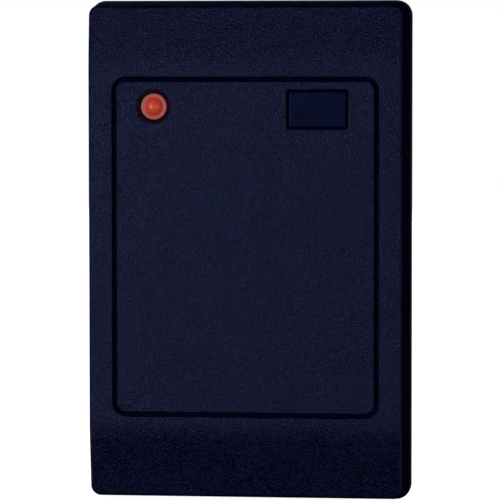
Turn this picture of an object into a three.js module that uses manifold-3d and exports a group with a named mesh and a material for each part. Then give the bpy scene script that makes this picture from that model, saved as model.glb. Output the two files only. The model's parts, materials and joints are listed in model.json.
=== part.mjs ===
// A wall-mounted proximity card reader for door access control.
//
// A shallow moulded housing carries the circuit board, the antenna coil and the status light. It hangs
// by its top edge on two hooks of a back plate and is locked to the plate by one screw from below.
// Millimetres. The origin is the centre of the plate's wall face, +X is to the right as a user sees
// the reader, +Y points into the wall and +Z up. "Depth" is the distance out from the wall, so a point
// at depth t has y = -t.

import * as THREE from "three";
import { mergeVertices } from "three/addons/utils/BufferGeometryUtils.js";
import Module from "manifold-3d";

const wasm = await Module();
wasm.setup();

// ---------------------------------------------------------------- driving dimensions

const WIDTH = 75;
const HEIGHT = 116;
const DEPTH = 15;
const CORNER_RADIUS = 3.5;
const DRAFT = 1.2; // what each of the four walls leans in over the whole depth
const EDGE_RADIUS = 0.8; // round-over between the front face and the side walls
const SIDE_WALL = 2.2;
const FRONT_WALL = 2.2;

// The front face is flat between two creases and falls back towards the top and bottom edges.
const TOP_CREASE = 43.9;
const BOTTOM_CREASE = -41.4;
const TOP_FALL = 1.4;
const BOTTOM_FALL = 2.6;
const CREASE_BLEND = 2.5; // half the height over which a crease is rounded

const PANEL = { width: 60.5, height: 77.2, z: 1.15, radius: 2.6 };
const GROOVE = { width: 1.1, depth: 0.95, root: 0.16 }; // V-shaped, its middle on the panel's outline
const LIGHT = { x: -21.1, z: 33.5, lens: 3.15, bore: 3.3, mouth: 4.05, mouthDepth: 1.3 };
const BADGE = { x: 16.6, z: 32.85, width: 14, height: 9, pocketDepth: 0.85, thickness: 0.5 };

const PLATE_FLOOR = 2;
const PLATE_EDGE = 2.8;
const JOINT_GAP = 0.3;
const HOUSING_RIM = PLATE_EDGE + JOINT_GAP;
const TOP_RELIEF = 0.8; // extra gap along the top edge, so that the housing can tilt
const LIP = { inset: 2.9, thickness: 1.2, depth: 4.8, top: 49.5, lockGap: 16 };

const PIVOT = { depth: 4.8, z: 54.6 };
const HANGER = { length: 54, radius: 0.5 }; // the housing's rib, rounded where it rests in the hooks
const HOOK = { x: 20, width: 9, arm: 1.6, tongue: 1.2, bite: 0.4, gap: 0.2 };

const LOCK = { depth: 6.5, floorZ: -55.5, floor: 1.3 };
const LOCK_TAB = { width: 11, height: 5, z: -53.9, depth: 9.6 };
const LOCK_PAD = { width: 12, depth: 11.3 };
const LOCK_SCREW = { shank: 1.45, head: 2.8, headHeight: 1.35, tipZ: -49.3 };
const LOCK_SOCKET = { radius: 1.15, depth: 0.8 };
const LOCK_WASHER = { inner: 1.65, outer: 2.9, thickness: 0.5 };
const LOCK_INSERT = { inner: 1.56, outer: 2.1, length: 4.2 };
const CONTACT_GAP = 0.1;

const INLET = { z: -14, hole: 6, recess: 7.7, recessDepth: 1, bore: 3.3, flange: 7.5 };
const WALL_SLOT = { width: 4.6, length: 9, sideways: 41.5, upright: 30 };
const STIFFENER = { x: 24, width: 1.2, depth: 3.4, height: 80 };

const BOARD = { width: 64, height: 84, z: 1, radius: 2, back: 8.4, thickness: 1.6 };
const BOARD_FRONT = BOARD.back + BOARD.thickness;
const BOARD_SCREW = { x: 28.5, high: 38, low: -36, shank: 0.95, head: 2.2 };
const BOARD_HOLE = 1.4;
const BOARD_BOSS = { radius: 2.8, pilot: 1.05 };
const SEAT_GAP = 0.05; // solder or glue under a piece mounted on the board

const COIL = { width: 50, height: 58, z: -7, radius: 6, band: 4.5, stack: 2.5, flange: 0.5 };
const TAMPER = { x: 20, z: -27, body: 6.2, bodyTop: 6.2, bore: 1.2, hole: 2.4, tip: 0.1 };
const SPRING = { radius: 1.6, wire: 0.15, turns: 4, top: 4.05 };
const HEADER = { x: 3, z: -31, width: 22.4, height: 6.2, rise: 5, pins: 8, pitch: 2.5 };

// ---------------------------------------------------------------- shapes and solids

const MERGE_DISTANCE = 1e-4;

/** A closed three.js geometry as a solid that can be cut and joined. */
function solid(geometry) {
  const bare = geometry.index ? geometry.toNonIndexed() : geometry.clone();
  bare.deleteAttribute("normal");
  bare.deleteAttribute("uv");
  const merged = mergeVertices(bare, MERGE_DISTANCE);
  const mesh = new wasm.Mesh({
    numProp: 3,
    vertProperties: merged.attributes.position.array,
    triVerts: new Uint32Array(merged.index.array),
  });
  return new wasm.Manifold(mesh);
}

/** The solid's triangles as a three.js geometry. */
function geometryOf(body) {
  const mesh = body.getMesh();
  const geometry = new THREE.BufferGeometry();
  geometry.setAttribute("position", new THREE.BufferAttribute(mesh.vertProperties, 3));
  geometry.setIndex(new THREE.BufferAttribute(mesh.triVerts, 1));
  geometry.computeVertexNormals();
  return geometry;
}

const join = (first, ...rest) => rest.reduce((sum, part) => sum.add(solid(part)), first);
const cut = (first, ...tools) => tools.reduce((left, tool) => left.subtract(solid(tool)), first);

/** Outline of a rectangle with round corners, x across and z up. */
function roundRect(width, height, radius, x = 0, z = 0) {
  const [left, right] = [x - width / 2, x + width / 2];
  const [low, high] = [z - height / 2, z + height / 2];
  const quarter = Math.PI / 2;
  const shape = new THREE.Shape();
  shape.moveTo(left + radius, low);
  shape.absarc(right - radius, low + radius, radius, -quarter, 0);
  shape.absarc(right - radius, high - radius, radius, 0, quarter);
  shape.absarc(left + radius, high - radius, radius, quarter, 2 * quarter);
  shape.absarc(left + radius, low + radius, radius, 2 * quarter, 3 * quarter);
  return shape;
}

/** A round-cornered band: the outline less the same outline made smaller by the band's width. */
function roundBand(width, height, radius, band, x = 0, z = 0) {
  const shape = roundRect(width, height, radius, x, z);
  const innerRadius = Math.max(radius - band, 0.3);
  shape.holes.push(roundRect(width - 2 * band, height - 2 * band, innerRadius, x, z));
  return shape;
}

/** An outline given thickness between two depths. */
function slab(shape, from, to, segments = 5) {
  const options = { depth: to - from, bevelEnabled: false, curveSegments: segments };
  const geometry = new THREE.ExtrudeGeometry(shape, options);
  geometry.rotateX(Math.PI / 2); // the outline's y becomes +Z and its thickness runs towards -Y
  geometry.translate(0, -from, 0);
  return geometry;
}

/** A block given by its ranges across, in depth and up. */
function block([x0, x1], [t0, t1], [z0, z1]) {
  const geometry = new THREE.BoxGeometry(x1 - x0, t1 - t0, z1 - z0);
  geometry.translate((x0 + x1) / 2, -(t0 + t1) / 2, (z0 + z1) / 2);
  return geometry;
}

/** A round bar square to the wall, between two depths. */
function bar(radius, from, to, x, z, sides = 24) {
  const geometry = new THREE.CylinderGeometry(radius, radius, to - from, sides);
  geometry.translate(x, -(from + to) / 2, z);
  return geometry;
}

/** A turned piece about its own Y axis, from [radius, height] pairs in order of height. */
function turned(profile, sides = 20) {
  const points = profile.map(([radius, height]) => new THREE.Vector2(radius, height));
  return new THREE.LatheGeometry(points, sides);
}

// ---------------------------------------------------------------- the housing's outer form

/** How far a surface falls back at a distance past a crease, with the crease rounded. */
function fallPast(distance, slope) {
  if (distance <= -CREASE_BLEND) return 0;
  if (distance >= CREASE_BLEND) return slope * distance;
  return (slope * (distance + CREASE_BLEND) ** 2) / (4 * CREASE_BLEND);
}

/** How far the front face lies behind its flat middle at height z. */
function frontFall(z) {
  const topSlope = TOP_FALL / (HEIGHT / 2 - TOP_CREASE);
  const bottomSlope = BOTTOM_FALL / (HEIGHT / 2 + BOTTOM_CREASE);
  return fallPast(z - TOP_CREASE, topSlope) + fallPast(BOTTOM_CREASE - z, bottomSlope);
}

/** The heights at which a ring needs points for the creases to come out round. */
const FRONT_LEVELS = [BOTTOM_CREASE, TOP_CREASE].flatMap((crease) =>
  [-1, -0.5, 0, 0.5, 1].map((k) => crease + k * CREASE_BLEND),
);
const CORNER_STEPS = 5;

/**
 * One closed ring of the case, inset from the outline. depthAt gives the depth at each height.
 */
function caseRing(inset, depthAt) {
  const radius = Math.max(CORNER_RADIUS - inset, 0.4);
  const across = WIDTH / 2 - inset - radius;
  const high = HEIGHT / 2 - inset - radius;
  const low = -high;
  const right = [];
  const corner = (z, start) => {
    for (let i = 0; i <= CORNER_STEPS; i++) {
      const angle = start + ((Math.PI / 2) * i) / CORNER_STEPS;
      right.push([across + radius * Math.cos(angle), z + radius * Math.sin(angle)]);
    }
  };
  corner(low, -Math.PI / 2);
  FRONT_LEVELS.forEach((z) => right.push([across + radius, z]));
  corner(high, 0);
  const left = right.map(([x, z]) => [-x, z]).reverse();
  return [...right, ...left].map(([x, z]) => new THREE.Vector3(x, -depthAt(z), z));
}

/** A closed body through rings with equal numbers of points, from the wall side to the front. */
function loft(rings) {
  const count = rings[0].length;
  const index = [];
  for (let k = 0; k + 1 < rings.length; k++) {
    for (let j = 0; j < count; j++) {
      const [a, b] = [k * count + j, k * count + ((j + 1) % count)];
      index.push(a, b, b + count, a, b + count, a + count);
    }
  }
  const front = (rings.length - 1) * count;
  for (let i = 0; i + 1 < count / 2; i++) {
    const [r0, r1, l1, l0] = [i, i + 1, count - 2 - i, count - 1 - i];
    index.push(r0, l1, r1, r0, l0, l1);
    index.push(front + r0, front + r1, front + l1, front + r0, front + l1, front + l0);
  }
  const geometry = new THREE.BufferGeometry().setFromPoints(rings.flat());
  geometry.setIndex(index);
  return geometry;
}

const draftAt = (depth) => (DRAFT * depth) / DEPTH;

/** The housing as if it were solid. */
function caseForm() {
  const rings = [caseRing(draftAt(HOUSING_RIM), () => HOUSING_RIM)];
  const arcSteps = 4;
  for (let i = 0; i <= arcSteps; i++) {
    const angle = ((Math.PI / 2) * i) / arcSteps;
    const roundIn = EDGE_RADIUS * (1 - Math.cos(angle));
    const roundBack = EDGE_RADIUS * (1 - Math.sin(angle));
    rings.push(caseRing(DRAFT + roundIn, (z) => DEPTH - frontFall(z) - roundBack));
  }
  return loft(rings);
}

/** The room inside the housing. */
function caseCavity() {
  const open = caseRing(SIDE_WALL + draftAt(HOUSING_RIM), () => HOUSING_RIM - 1);
  const ceiling = caseRing(SIDE_WALL + DRAFT, (z) => DEPTH - frontFall(z) - FRONT_WALL);
  return loft([open, ceiling]);
}

/** The places of the four screws that hold the board. */
const boardScrewPlaces = [BOARD_SCREW.high, BOARD_SCREW.low].flatMap((z) =>
  [-1, 1].map((side) => [side * BOARD_SCREW.x, z]),
);

// ---------------------------------------------------------------- moulded parts

function frontHousing() {
  let body = cut(solid(caseForm()), caseCavity());
  const innerFront = DEPTH - FRONT_WALL;

  // Board bosses with blind pilot holes.
  for (const [x, z] of boardScrewPlaces) {
    body = join(body, bar(BOARD_BOSS.radius, BOARD_FRONT, innerFront + 0.5, x, z, 16));
    body = cut(body, bar(BOARD_BOSS.pilot, BOARD_FRONT - 1, innerFront + 0.8, x, z, 12));
  }

  // The rib that hangs behind the plate's tongues, joined to the top wall.
  const ribAcross = [-HANGER.length / 2, HANGER.length / 2];
  const ribDepth = [PIVOT.depth - HANGER.radius, PIVOT.depth + HANGER.radius];
  body = join(body, block(ribAcross, ribDepth, [PIVOT.z, HEIGHT / 2 - SIDE_WALL + 0.5]), hangerEdge());
  // Relief along the top edge.
  const relief = block([-WIDTH, WIDTH], [0, HOUSING_RIM + TOP_RELIEF], [PIVOT.z - 0.2, HEIGHT]);
  body = cut(body, relief);

  // Lock pad over the bottom wall, with a notch for the shank and a wider one for the head below it.
  const padTop = LOCK.floorZ + LOCK.floor;
  const wallBottom = -HEIGHT / 2 + SIDE_WALL - 0.5;
  const padAcross = [-LOCK_PAD.width / 2, LOCK_PAD.width / 2];
  body = join(body, block(padAcross, [HOUSING_RIM, LOCK_PAD.depth], [wallBottom, padTop]));
  body = cut(body, lockNotch(LOCK_SCREW.shank + 0.35, [LOCK.floorZ - 1, padTop + 1]));
  body = cut(body, lockNotch(LOCK_SCREW.head + 0.5, [-HEIGHT, LOCK.floorZ]));

  // Front details: the groove round the panel, the light's hole and the badge pocket.
  const pocket = roundRect(BADGE.width + 0.2, BADGE.height + 0.2, 0.4, BADGE.x, BADGE.z);
  const badgePocket = slab(pocket, DEPTH - BADGE.pocketDepth, DEPTH + 1, 3);
  return cut(body, panelGroove(), lightHole(), badgePocket);
}

/** The room that the groove takes up: a V-section, closed into a loop along the panel's outline. */
function panelGroove() {
  const section = [
    [GROOVE.width / 2, DEPTH + 1],
    [GROOVE.width / 2, DEPTH],
    [GROOVE.root / 2, DEPTH - GROOVE.depth],
    [-GROOVE.root / 2, DEPTH - GROOVE.depth],
    [-GROOVE.width / 2, DEPTH],
    [-GROOVE.width / 2, DEPTH + 1],
  ];
  const points = [];
  for (const [out, depth] of section) {
    const width = PANEL.width + 2 * out;
    const height = PANEL.height + 2 * out;
    const outline = roundRect(width, height, PANEL.radius + out, 0, PANEL.z).getPoints(4);
    outline.pop(); // the outline ends where it starts
    outline.forEach((point) => points.push(new THREE.Vector3(point.x, -depth, point.y)));
  }
  const count = points.length / section.length;
  const index = [];
  for (let k = 0; k < section.length; k++) {
    const [row, next] = [k * count, ((k + 1) % section.length) * count];
    for (let j = 0; j < count; j++) {
      const i = (j + 1) % count;
      index.push(row + j, row + i, next + i, row + j, next + i, next + j);
    }
  }
  const geometry = new THREE.BufferGeometry().setFromPoints(points);
  geometry.setIndex(index);
  return geometry;
}

/** The light's hole through the front wall, with a conical mouth. */
function lightHole() {
  const profile = [
    [0, -DEPTH - 1],
    [LIGHT.mouth, -DEPTH - 1],
    [LIGHT.mouth, -DEPTH],
    [LIGHT.bore, -DEPTH + LIGHT.mouthDepth],
    [LIGHT.bore, -DEPTH + FRONT_WALL + 1],
    [0, -DEPTH + FRONT_WALL + 1],
  ];
  return turned(profile, 32).translate(LIGHT.x, 0, LIGHT.z);
}

/** The rib's rounded lower edge, on the axis the housing swings about. */
function hangerEdge() {
  const edge = new THREE.CylinderGeometry(HANGER.radius, HANGER.radius, HANGER.length, 12);
  edge.rotateZ(Math.PI / 2);
  edge.translate(0, -PIVOT.depth, PIVOT.z);
  return edge;
}

/** A slot round the lock screw's axis, open towards the wall, over a range of heights. */
function lockNotch(radius, [low, high]) {
  const outline = new THREE.Shape();
  outline.moveTo(radius, 1);
  outline.lineTo(radius, -LOCK.depth);
  outline.absarc(0, -LOCK.depth, radius, 0, -Math.PI, true);
  outline.lineTo(-radius, 1);
  const options = { depth: high - low, bevelEnabled: false, curveSegments: 10 };
  const geometry = new THREE.ExtrudeGeometry(outline, options);
  geometry.translate(0, 0, low);
  return geometry;
}

function backPlate() {
  const floorWidth = WIDTH - 2 * (LIP.inset + LIP.thickness);
  const floorHeight = HEIGHT - 2 * (LIP.inset + LIP.thickness);
  let plate = solid(slab(roundRect(WIDTH, HEIGHT, CORNER_RADIUS), 0, PLATE_EDGE));

  // The lip that centres the housing: down both sides and along the bottom, but clear of the lock.
  const lipRing = roundBand(WIDTH - 2 * LIP.inset, HEIGHT - 2 * LIP.inset, 1.6, LIP.thickness);
  const lip = cut(
    solid(slab(lipRing, PLATE_EDGE - 0.5, LIP.depth)),
    block([-WIDTH, WIDTH], [0, DEPTH], [LIP.top, HEIGHT]),
    block([-LIP.lockGap / 2, LIP.lockGap / 2], [0, DEPTH], [-HEIGHT, -40]),
  );
  plate = plate.add(lip);
  plate = cut(plate, slab(roundRect(floorWidth, floorHeight, 1), PLATE_FLOOR, LIP.depth + 1));

  // Stiffening ribs.
  for (const side of [-1, 1]) {
    const across = [side * STIFFENER.x - STIFFENER.width / 2, side * STIFFENER.x + STIFFENER.width / 2];
    const up = [-STIFFENER.height / 2, STIFFENER.height / 2];
    plate = join(plate, block(across, [PLATE_FLOOR - 0.5, STIFFENER.depth], up));
  }

  // Two hooks: an arm out from the plate and a tongue turned up at its end.
  const armTop = PIVOT.z - HANGER.radius - HOOK.gap;
  const tongueBack = PIVOT.depth + 1.1;
  for (const side of [-1, 1]) {
    const across = [side * HOOK.x - HOOK.width / 2, side * HOOK.x + HOOK.width / 2];
    const tongueFront = tongueBack + HOOK.tongue;
    plate = join(
      plate,
      block(across, [PLATE_FLOOR - 0.5, tongueFront], [armTop - HOOK.arm, armTop]),
      block(across, [tongueBack, tongueFront], [armTop - HOOK.arm, PIVOT.z + HOOK.bite]),
    );
  }

  // The tab that holds the threaded insert.
  const tabAcross = [-LOCK_TAB.width / 2, LOCK_TAB.width / 2];
  const tabTop = LOCK_TAB.z + LOCK_TAB.height;
  const tab = block(tabAcross, [PLATE_FLOOR - 0.5, LOCK_TAB.depth], [LOCK_TAB.z, tabTop]);
  const insertHole = upright(LOCK_INSERT.outer + SEAT_GAP, LOCK_TAB.z - 1, tabTop + 1);
  plate = cut(join(plate, tab), insertHole);

  // Cable inlet, recessed on the wall side for the grommet's flange, and the tamper plunger's hole.
  plate = cut(
    plate,
    bar(INLET.hole, -1, DEPTH, 0, INLET.z, 32),
    bar(INLET.recess, -1, INLET.recessDepth, 0, INLET.z, 32),
    bar(TAMPER.hole, -1, DEPTH, TAMPER.x, TAMPER.z, 20),
  );

  // Slots for the wall screws: one pair sideways, one pair upright.
  const { width, length, sideways, upright: uprightZ } = WALL_SLOT;
  for (const side of [-1, 1]) {
    plate = cut(
      plate,
      slab(roundRect(length, width, width / 2 - 0.01, 0, side * sideways), -1, DEPTH),
      slab(roundRect(width, length, width / 2 - 0.01, 0, side * uprightZ), -1, DEPTH),
    );
  }
  return plate;
}

/** A vertical round bar on the lock screw's axis. */
function upright(radius, low, high, sides = 24) {
  const geometry = new THREE.CylinderGeometry(radius, radius, high - low, sides);
  geometry.rotateX(Math.PI / 2);
  geometry.translate(0, -LOCK.depth, (low + high) / 2);
  return geometry;
}

/** Rubber grommet that grips the edge of the cable inlet. Its axis is square to the wall. */
function cableGrommet() {
  const waist = INLET.hole - SEAT_GAP;
  const flangeBack = INLET.recessDepth - SEAT_GAP;
  const flangeFront = PLATE_FLOOR + SEAT_GAP;
  const nose = -3.6;
  const profile = [
    [INLET.bore, nose],
    [INLET.bore + 1.3, nose],
    [INLET.flange - 0.6, -2.7],
    [INLET.flange, -flangeFront],
    [waist, -flangeFront],
    [waist, -flangeBack],
    [INLET.flange, -flangeBack],
    [INLET.flange, -0.1],
    [INLET.bore + 0.5, -0.1],
    [INLET.bore, -0.6],
    [INLET.bore, nose],
  ];
  return turned(profile, 28);
}

// ---------------------------------------------------------------- the lock

function lockInsert() {
  const top = LOCK_TAB.z + 0.2 + LOCK_INSERT.length;
  const sleeve = solid(upright(LOCK_INSERT.outer, LOCK_TAB.z + 0.2, top));
  return cut(sleeve, upright(LOCK_INSERT.inner, LOCK_TAB.z - 1, top + 1));
}

const washerTop = LOCK.floorZ - CONTACT_GAP;
const headTop = washerTop - LOCK_WASHER.thickness - SEAT_GAP;

function lockWasher() {
  const disc = solid(upright(LOCK_WASHER.outer, washerTop - LOCK_WASHER.thickness, washerTop));
  return cut(disc, upright(LOCK_WASHER.inner, washerTop - 1, washerTop + 1));
}

/** Security screw, head down, with a six-sided socket. */
function lockScrew() {
  const headBottom = headTop - LOCK_SCREW.headHeight;
  const socket = upright(LOCK_SOCKET.radius, headBottom - 1, headBottom + LOCK_SOCKET.depth, 6);
  const screw = join(
    solid(upright(LOCK_SCREW.head, headBottom, headTop)),
    upright(LOCK_SCREW.shank, headTop - 0.2, LOCK_SCREW.tipZ),
  );
  return cut(screw, socket);
}

// ---------------------------------------------------------------- light, badge, board and coil

/** Translucent light guide: a shallow dome in front, a shank and a flange behind the front wall. */
function lightGuide() {
  const { lens } = LIGHT;
  const innerFront = DEPTH - FRONT_WALL;
  const domeRise = 0.55;
  const domeTop = DEPTH - 0.1;
  const domeSteps = 5;
  const dome = Array.from({ length: domeSteps }, (_, i) => {
    const across = (lens * (i + 1)) / domeSteps;
    return [across, -domeTop + domeRise * (across / lens) ** 2];
  });
  const profile = [
    [0, -domeTop],
    ...dome,
    [lens, -innerFront + SEAT_GAP],
    [lens + 1.2, -innerFront + SEAT_GAP],
    [lens + 1.2, -innerFront + 0.7],
    [lens - 0.6, -innerFront + 0.7],
    [lens - 0.6, -innerFront + 1],
    [0, -innerFront + 1],
  ];
  return turned(profile, 32);
}

function statusLed() {
  const half = 2.5;
  const base = BOARD_FRONT + SEAT_GAP;
  return block([-half, half], [base, base + 1.6], [-half, half]);
}

function badgePlate() {
  const back = DEPTH - BADGE.pocketDepth;
  return slab(roundRect(BADGE.width, BADGE.height, 0.4), back, back + BADGE.thickness, 3);
}

function mainBoard() {
  const outline = roundRect(BOARD.width, BOARD.height, BOARD.radius, 0, BOARD.z);
  const holes = boardScrewPlaces.map(([x, z]) => bar(BOARD_HOLE, 0, DEPTH, x, z, 16));
  return cut(solid(slab(outline, BOARD.back, BOARD_FRONT, 4)), ...holes);
}

/** Pan-head screw for the board. Its axis is square to the wall and its tip points to the front. */
function boardScrew() {
  const seat = -BOARD.back + SEAT_GAP;
  const tip = -13;
  const profile = [
    [0, tip],
    [BOARD_SCREW.shank * 0.6, tip],
    [BOARD_SCREW.shank, tip + 0.6],
    [BOARD_SCREW.shank, seat],
    [BOARD_SCREW.head, seat],
    [BOARD_SCREW.head, seat + 0.7],
    [BOARD_SCREW.head * 0.75, seat + 1.3],
    [0, seat + 1.4],
  ];
  const [slotWidth, slotLength] = [0.5, 2.4];
  const slotDepth = [BOARD.back - SEAT_GAP - 2, BOARD.back - SEAT_GAP - 0.8];
  return cut(
    solid(turned(profile, 16)),
    block([-slotLength / 2, slotLength / 2], slotDepth, [-slotWidth / 2, slotWidth / 2]),
    block([-slotWidth / 2, slotWidth / 2], slotDepth, [-slotLength / 2, slotLength / 2]),
  );
}

/** The coil's frame: a low rectangular bobbin whose channel opens outwards. */
function coilBobbin() {
  const base = BOARD_FRONT + SEAT_GAP;
  const ring = roundBand(COIL.width, COIL.height, COIL.radius, COIL.band, 0, COIL.z);
  const channelFrom = base + COIL.flange;
  const channelTo = base + COIL.stack - COIL.flange;
  const channel = roundBand(COIL.width + 2, COIL.height + 2, COIL.radius + 1, COIL.band, 0, COIL.z);
  return cut(solid(slab(ring, base, base + COIL.stack)), slab(channel, channelFrom, channelTo));
}

/** The wound wire, as one block filling the bobbin's channel. */
function antennaCoil() {
  const base = BOARD_FRONT + SEAT_GAP;
  const inset = 0.5;
  const band = COIL.band - 1 - inset - 0.1;
  const [width, height] = [COIL.width - 2 * inset, COIL.height - 2 * inset];
  const outline = roundBand(width, height, COIL.radius - inset, band, 0, COIL.z);
  const margin = COIL.flange + SEAT_GAP;
  return slab(outline, base + margin, base + COIL.stack - margin);
}

// ---------------------------------------------------------------- pieces on the back of the board
// Each is made standing on its own origin, with +Y away from the board, and placed by its mesh.

/** A block standing on the board: size across, height off the board and size up. */
function chip(across, rise, up) {
  return new THREE.BoxGeometry(across, rise, up).translate(0, rise / 2, 0);
}

function buzzer() {
  const [radius, rise] = [6, 5.4];
  const profile = [
    [0, 0],
    [radius, 0],
    [radius, rise - 0.4],
    [radius - 0.4, rise],
    [1.2, rise],
    [1.2, rise - 1.2],
    [0, rise - 1.2],
  ];
  return turned(profile, 28);
}

function canCapacitor(radius, rise) {
  const profile = [
    [0, 0.9],
    [radius, 0.9],
    [radius, rise - 0.3],
    [radius - 0.3, rise],
    [0, rise],
  ];
  const base = chip(2 * radius + 0.4, 1, 2 * radius + 0.4);
  return geometryOf(join(solid(base), turned(profile)));
}

function voltageRegulator() {
  const body = solid(chip(6.6, 2.3, 6.1));
  const tab = new THREE.BoxGeometry(5.3, 0.6, 2.2).translate(0, 0.35, 3.6);
  const leads = [-2.3, 0, 2.3].map((x) => new THREE.BoxGeometry(0.8, 0.5, 2.4).translate(x, 0.35, -4));
  return geometryOf(join(body, tab, ...leads));
}

function crystal() {
  const options = { depth: 3.4, bevelEnabled: false, curveSegments: 6 };
  const can = new THREE.ExtrudeGeometry(roundRect(11.2, 4.6, 2.29), options);
  return can.rotateX(-Math.PI / 2);
}

/** Side-entry pin header; its mouth faces up, towards the cable inlet. */
function cableHeader() {
  const wall = 0.8;
  const body = solid(chip(HEADER.width, HEADER.rise, HEADER.height));
  const mouth = new THREE.BoxGeometry(HEADER.width - 2 * wall, HEADER.rise - 2 * wall, HEADER.height);
  mouth.translate(0, HEADER.rise / 2, 1.4);
  return geometryOf(cut(body, mouth));
}

function headerPin() {
  return new THREE.BoxGeometry(0.64, 0.64, 4).translate(0, HEADER.rise / 2, 0.35);
}

/** The tamper switch's body, with a bore that guides the plunger's tail. */
function tamperSwitch() {
  const rise = BOARD.back - SEAT_GAP - TAMPER.bodyTop;
  const bore = new THREE.CylinderGeometry(TAMPER.bore, TAMPER.bore, rise, 16);
  bore.translate(0, rise / 2 + 0.2, 0);
  return geometryOf(cut(solid(chip(TAMPER.body, rise, TAMPER.body)), bore));
}

/** Plunger: tail in the switch, flange for the spring and a stem that reaches the wall. */
function tamperPlunger() {
  const flange = 4;
  const tail = 8;
  const profile = [
    [0, -tail],
    [0.9, -tail],
    [0.9, -flange],
    [2.1, -flange],
    [2.1, -flange + 0.5],
    [1.5, -flange + 0.5],
    [1.5, -TAMPER.tip - 0.5],
    [1, -TAMPER.tip],
    [0, -TAMPER.tip],
  ];
  return turned(profile, 16);
}

/** Compression spring between the switch and the plunger's flange. */
function tamperSpring() {
  class Helix extends THREE.Curve {
    getPoint(t, target = new THREE.Vector3()) {
      const angle = 2 * Math.PI * SPRING.turns * t;
      const bottom = TAMPER.bodyTop - SPRING.wire - SEAT_GAP;
      const top = SPRING.top + SPRING.wire + SEAT_GAP;
      const depth = THREE.MathUtils.lerp(bottom, top, t);
      return target.set(SPRING.radius * Math.cos(angle), -depth, SPRING.radius * Math.sin(angle));
    }
  }
  const wire = new THREE.Shape().absarc(0, 0, SPRING.wire, 0, 2 * Math.PI);
  const options = { steps: 14 * SPRING.turns, curveSegments: 6, extrudePath: new Helix() };
  return new THREE.ExtrudeGeometry(wire, options);
}

// ---------------------------------------------------------------- the assembly

const blackPlastic = new THREE.MeshStandardMaterial({ color: 0x0e1020, roughness: 0.55, metalness: 0 });
const platePlastic = new THREE.MeshStandardMaterial({ color: 0x101216, roughness: 0.65, metalness: 0 });
const badgePlastic = new THREE.MeshStandardMaterial({ color: 0x080c18, roughness: 0.25, metalness: 0 });
const redLens = new THREE.MeshStandardMaterial({ color: 0xc03428, roughness: 0.3, metalness: 0 });
const rubber = new THREE.MeshStandardMaterial({ color: 0x141414, roughness: 0.85, metalness: 0 });
const laminate = new THREE.MeshStandardMaterial({ color: 0x0b5a2c, roughness: 0.4, metalness: 0 });
const copper = new THREE.MeshStandardMaterial({ color: 0xb4622d, roughness: 0.35, metalness: 1 });
const steel = new THREE.MeshStandardMaterial({ color: 0xb9bcc0, roughness: 0.3, metalness: 1 });
const brass = new THREE.MeshStandardMaterial({ color: 0xc9a24a, roughness: 0.35, metalness: 1 });
const epoxy = new THREE.MeshStandardMaterial({ color: 0x16171a, roughness: 0.5, metalness: 0 });
const whitePlastic = new THREE.MeshStandardMaterial({ color: 0xe6e3da, roughness: 0.5, metalness: 0 });
const tanCeramic = new THREE.MeshStandardMaterial({ color: 0xa98d62, roughness: 0.5, metalness: 0 });

/** Adds one named piece to a group. */
function add(group, name, geometry, material, x = 0, y = 0, z = 0) {
  const mesh = new THREE.Mesh(geometry.isBufferGeometry ? geometry : geometryOf(geometry), material);
  mesh.name = name;
  mesh.position.set(x, y, z);
  group.add(mesh);
  return mesh;
}

function plateGroup() {
  const group = new THREE.Group();
  add(group, "back_plate", backPlate(), platePlastic);
  add(group, "cable_grommet", cableGrommet(), rubber, 0, 0, INLET.z);
  add(group, "lock_insert", lockInsert(), brass);
  add(group, "lock_washer", lockWasher(), whitePlastic);
  add(group, "lock_screw", lockScrew(), steel);
  return group;
}

function boardParts() {
  const group = new THREE.Group();
  group.position.y = -(BOARD.back - SEAT_GAP);
  add(group, "buzzer", buzzer(), epoxy, -15, 0, 20);
  add(group, "microcontroller", chip(12.8, 2.3, 7.5), epoxy, 8, 0, 14);
  add(group, "reader_chip", chip(8.7, 1.6, 3.9), epoxy, 10, 0, -1);
  add(group, "crystal", crystal(), steel, 8, 0, 28);
  add(group, "voltage_regulator", voltageRegulator(), epoxy, -21.5, 0, -26);
  add(group, "capacitor_1", canCapacitor(3.15, 5.2), steel, -13.5, 0, -31);
  add(group, "capacitor_2", canCapacitor(2.5, 5.2), steel, -19.5, 0, -10);
  add(group, "diode_1", chip(4.3, 2.1, 2.6), epoxy, -21, 0, 0);
  add(group, "diode_2", chip(4.3, 2.1, 2.6), epoxy, -21, 0, 6);
  const resistors = [[-8, 4], [-8, 0], [-8, -4], [20, 20], [20, 16], [20, 12]];
  resistors.forEach(([x, z], i) => {
    add(group, `resistor_${i + 1}`, chip(2, 0.5, 1.25), epoxy, x, 0, z);
  });
  const ceramics = [[19, 2], [19, -3], [-1, 28], [-4, 14]];
  ceramics.forEach(([x, z], i) => {
    add(group, `ceramic_capacitor_${i + 1}`, chip(2, 0.9, 1.25), tanCeramic, x, 0, z);
  });
  add(group, "tamper_switch", tamperSwitch(), epoxy, TAMPER.x, 0, TAMPER.z);

  const header = new THREE.Group();
  header.position.set(HEADER.x, 0, HEADER.z);
  add(header, "cable_header", cableHeader(), whitePlastic);
  for (let i = 0; i < HEADER.pins; i++) {
    const x = (i - (HEADER.pins - 1) / 2) * HEADER.pitch;
    add(header, `header_pin_${i + 1}`, headerPin(), brass, x);
  }
  group.add(header);
  return group;
}

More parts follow.
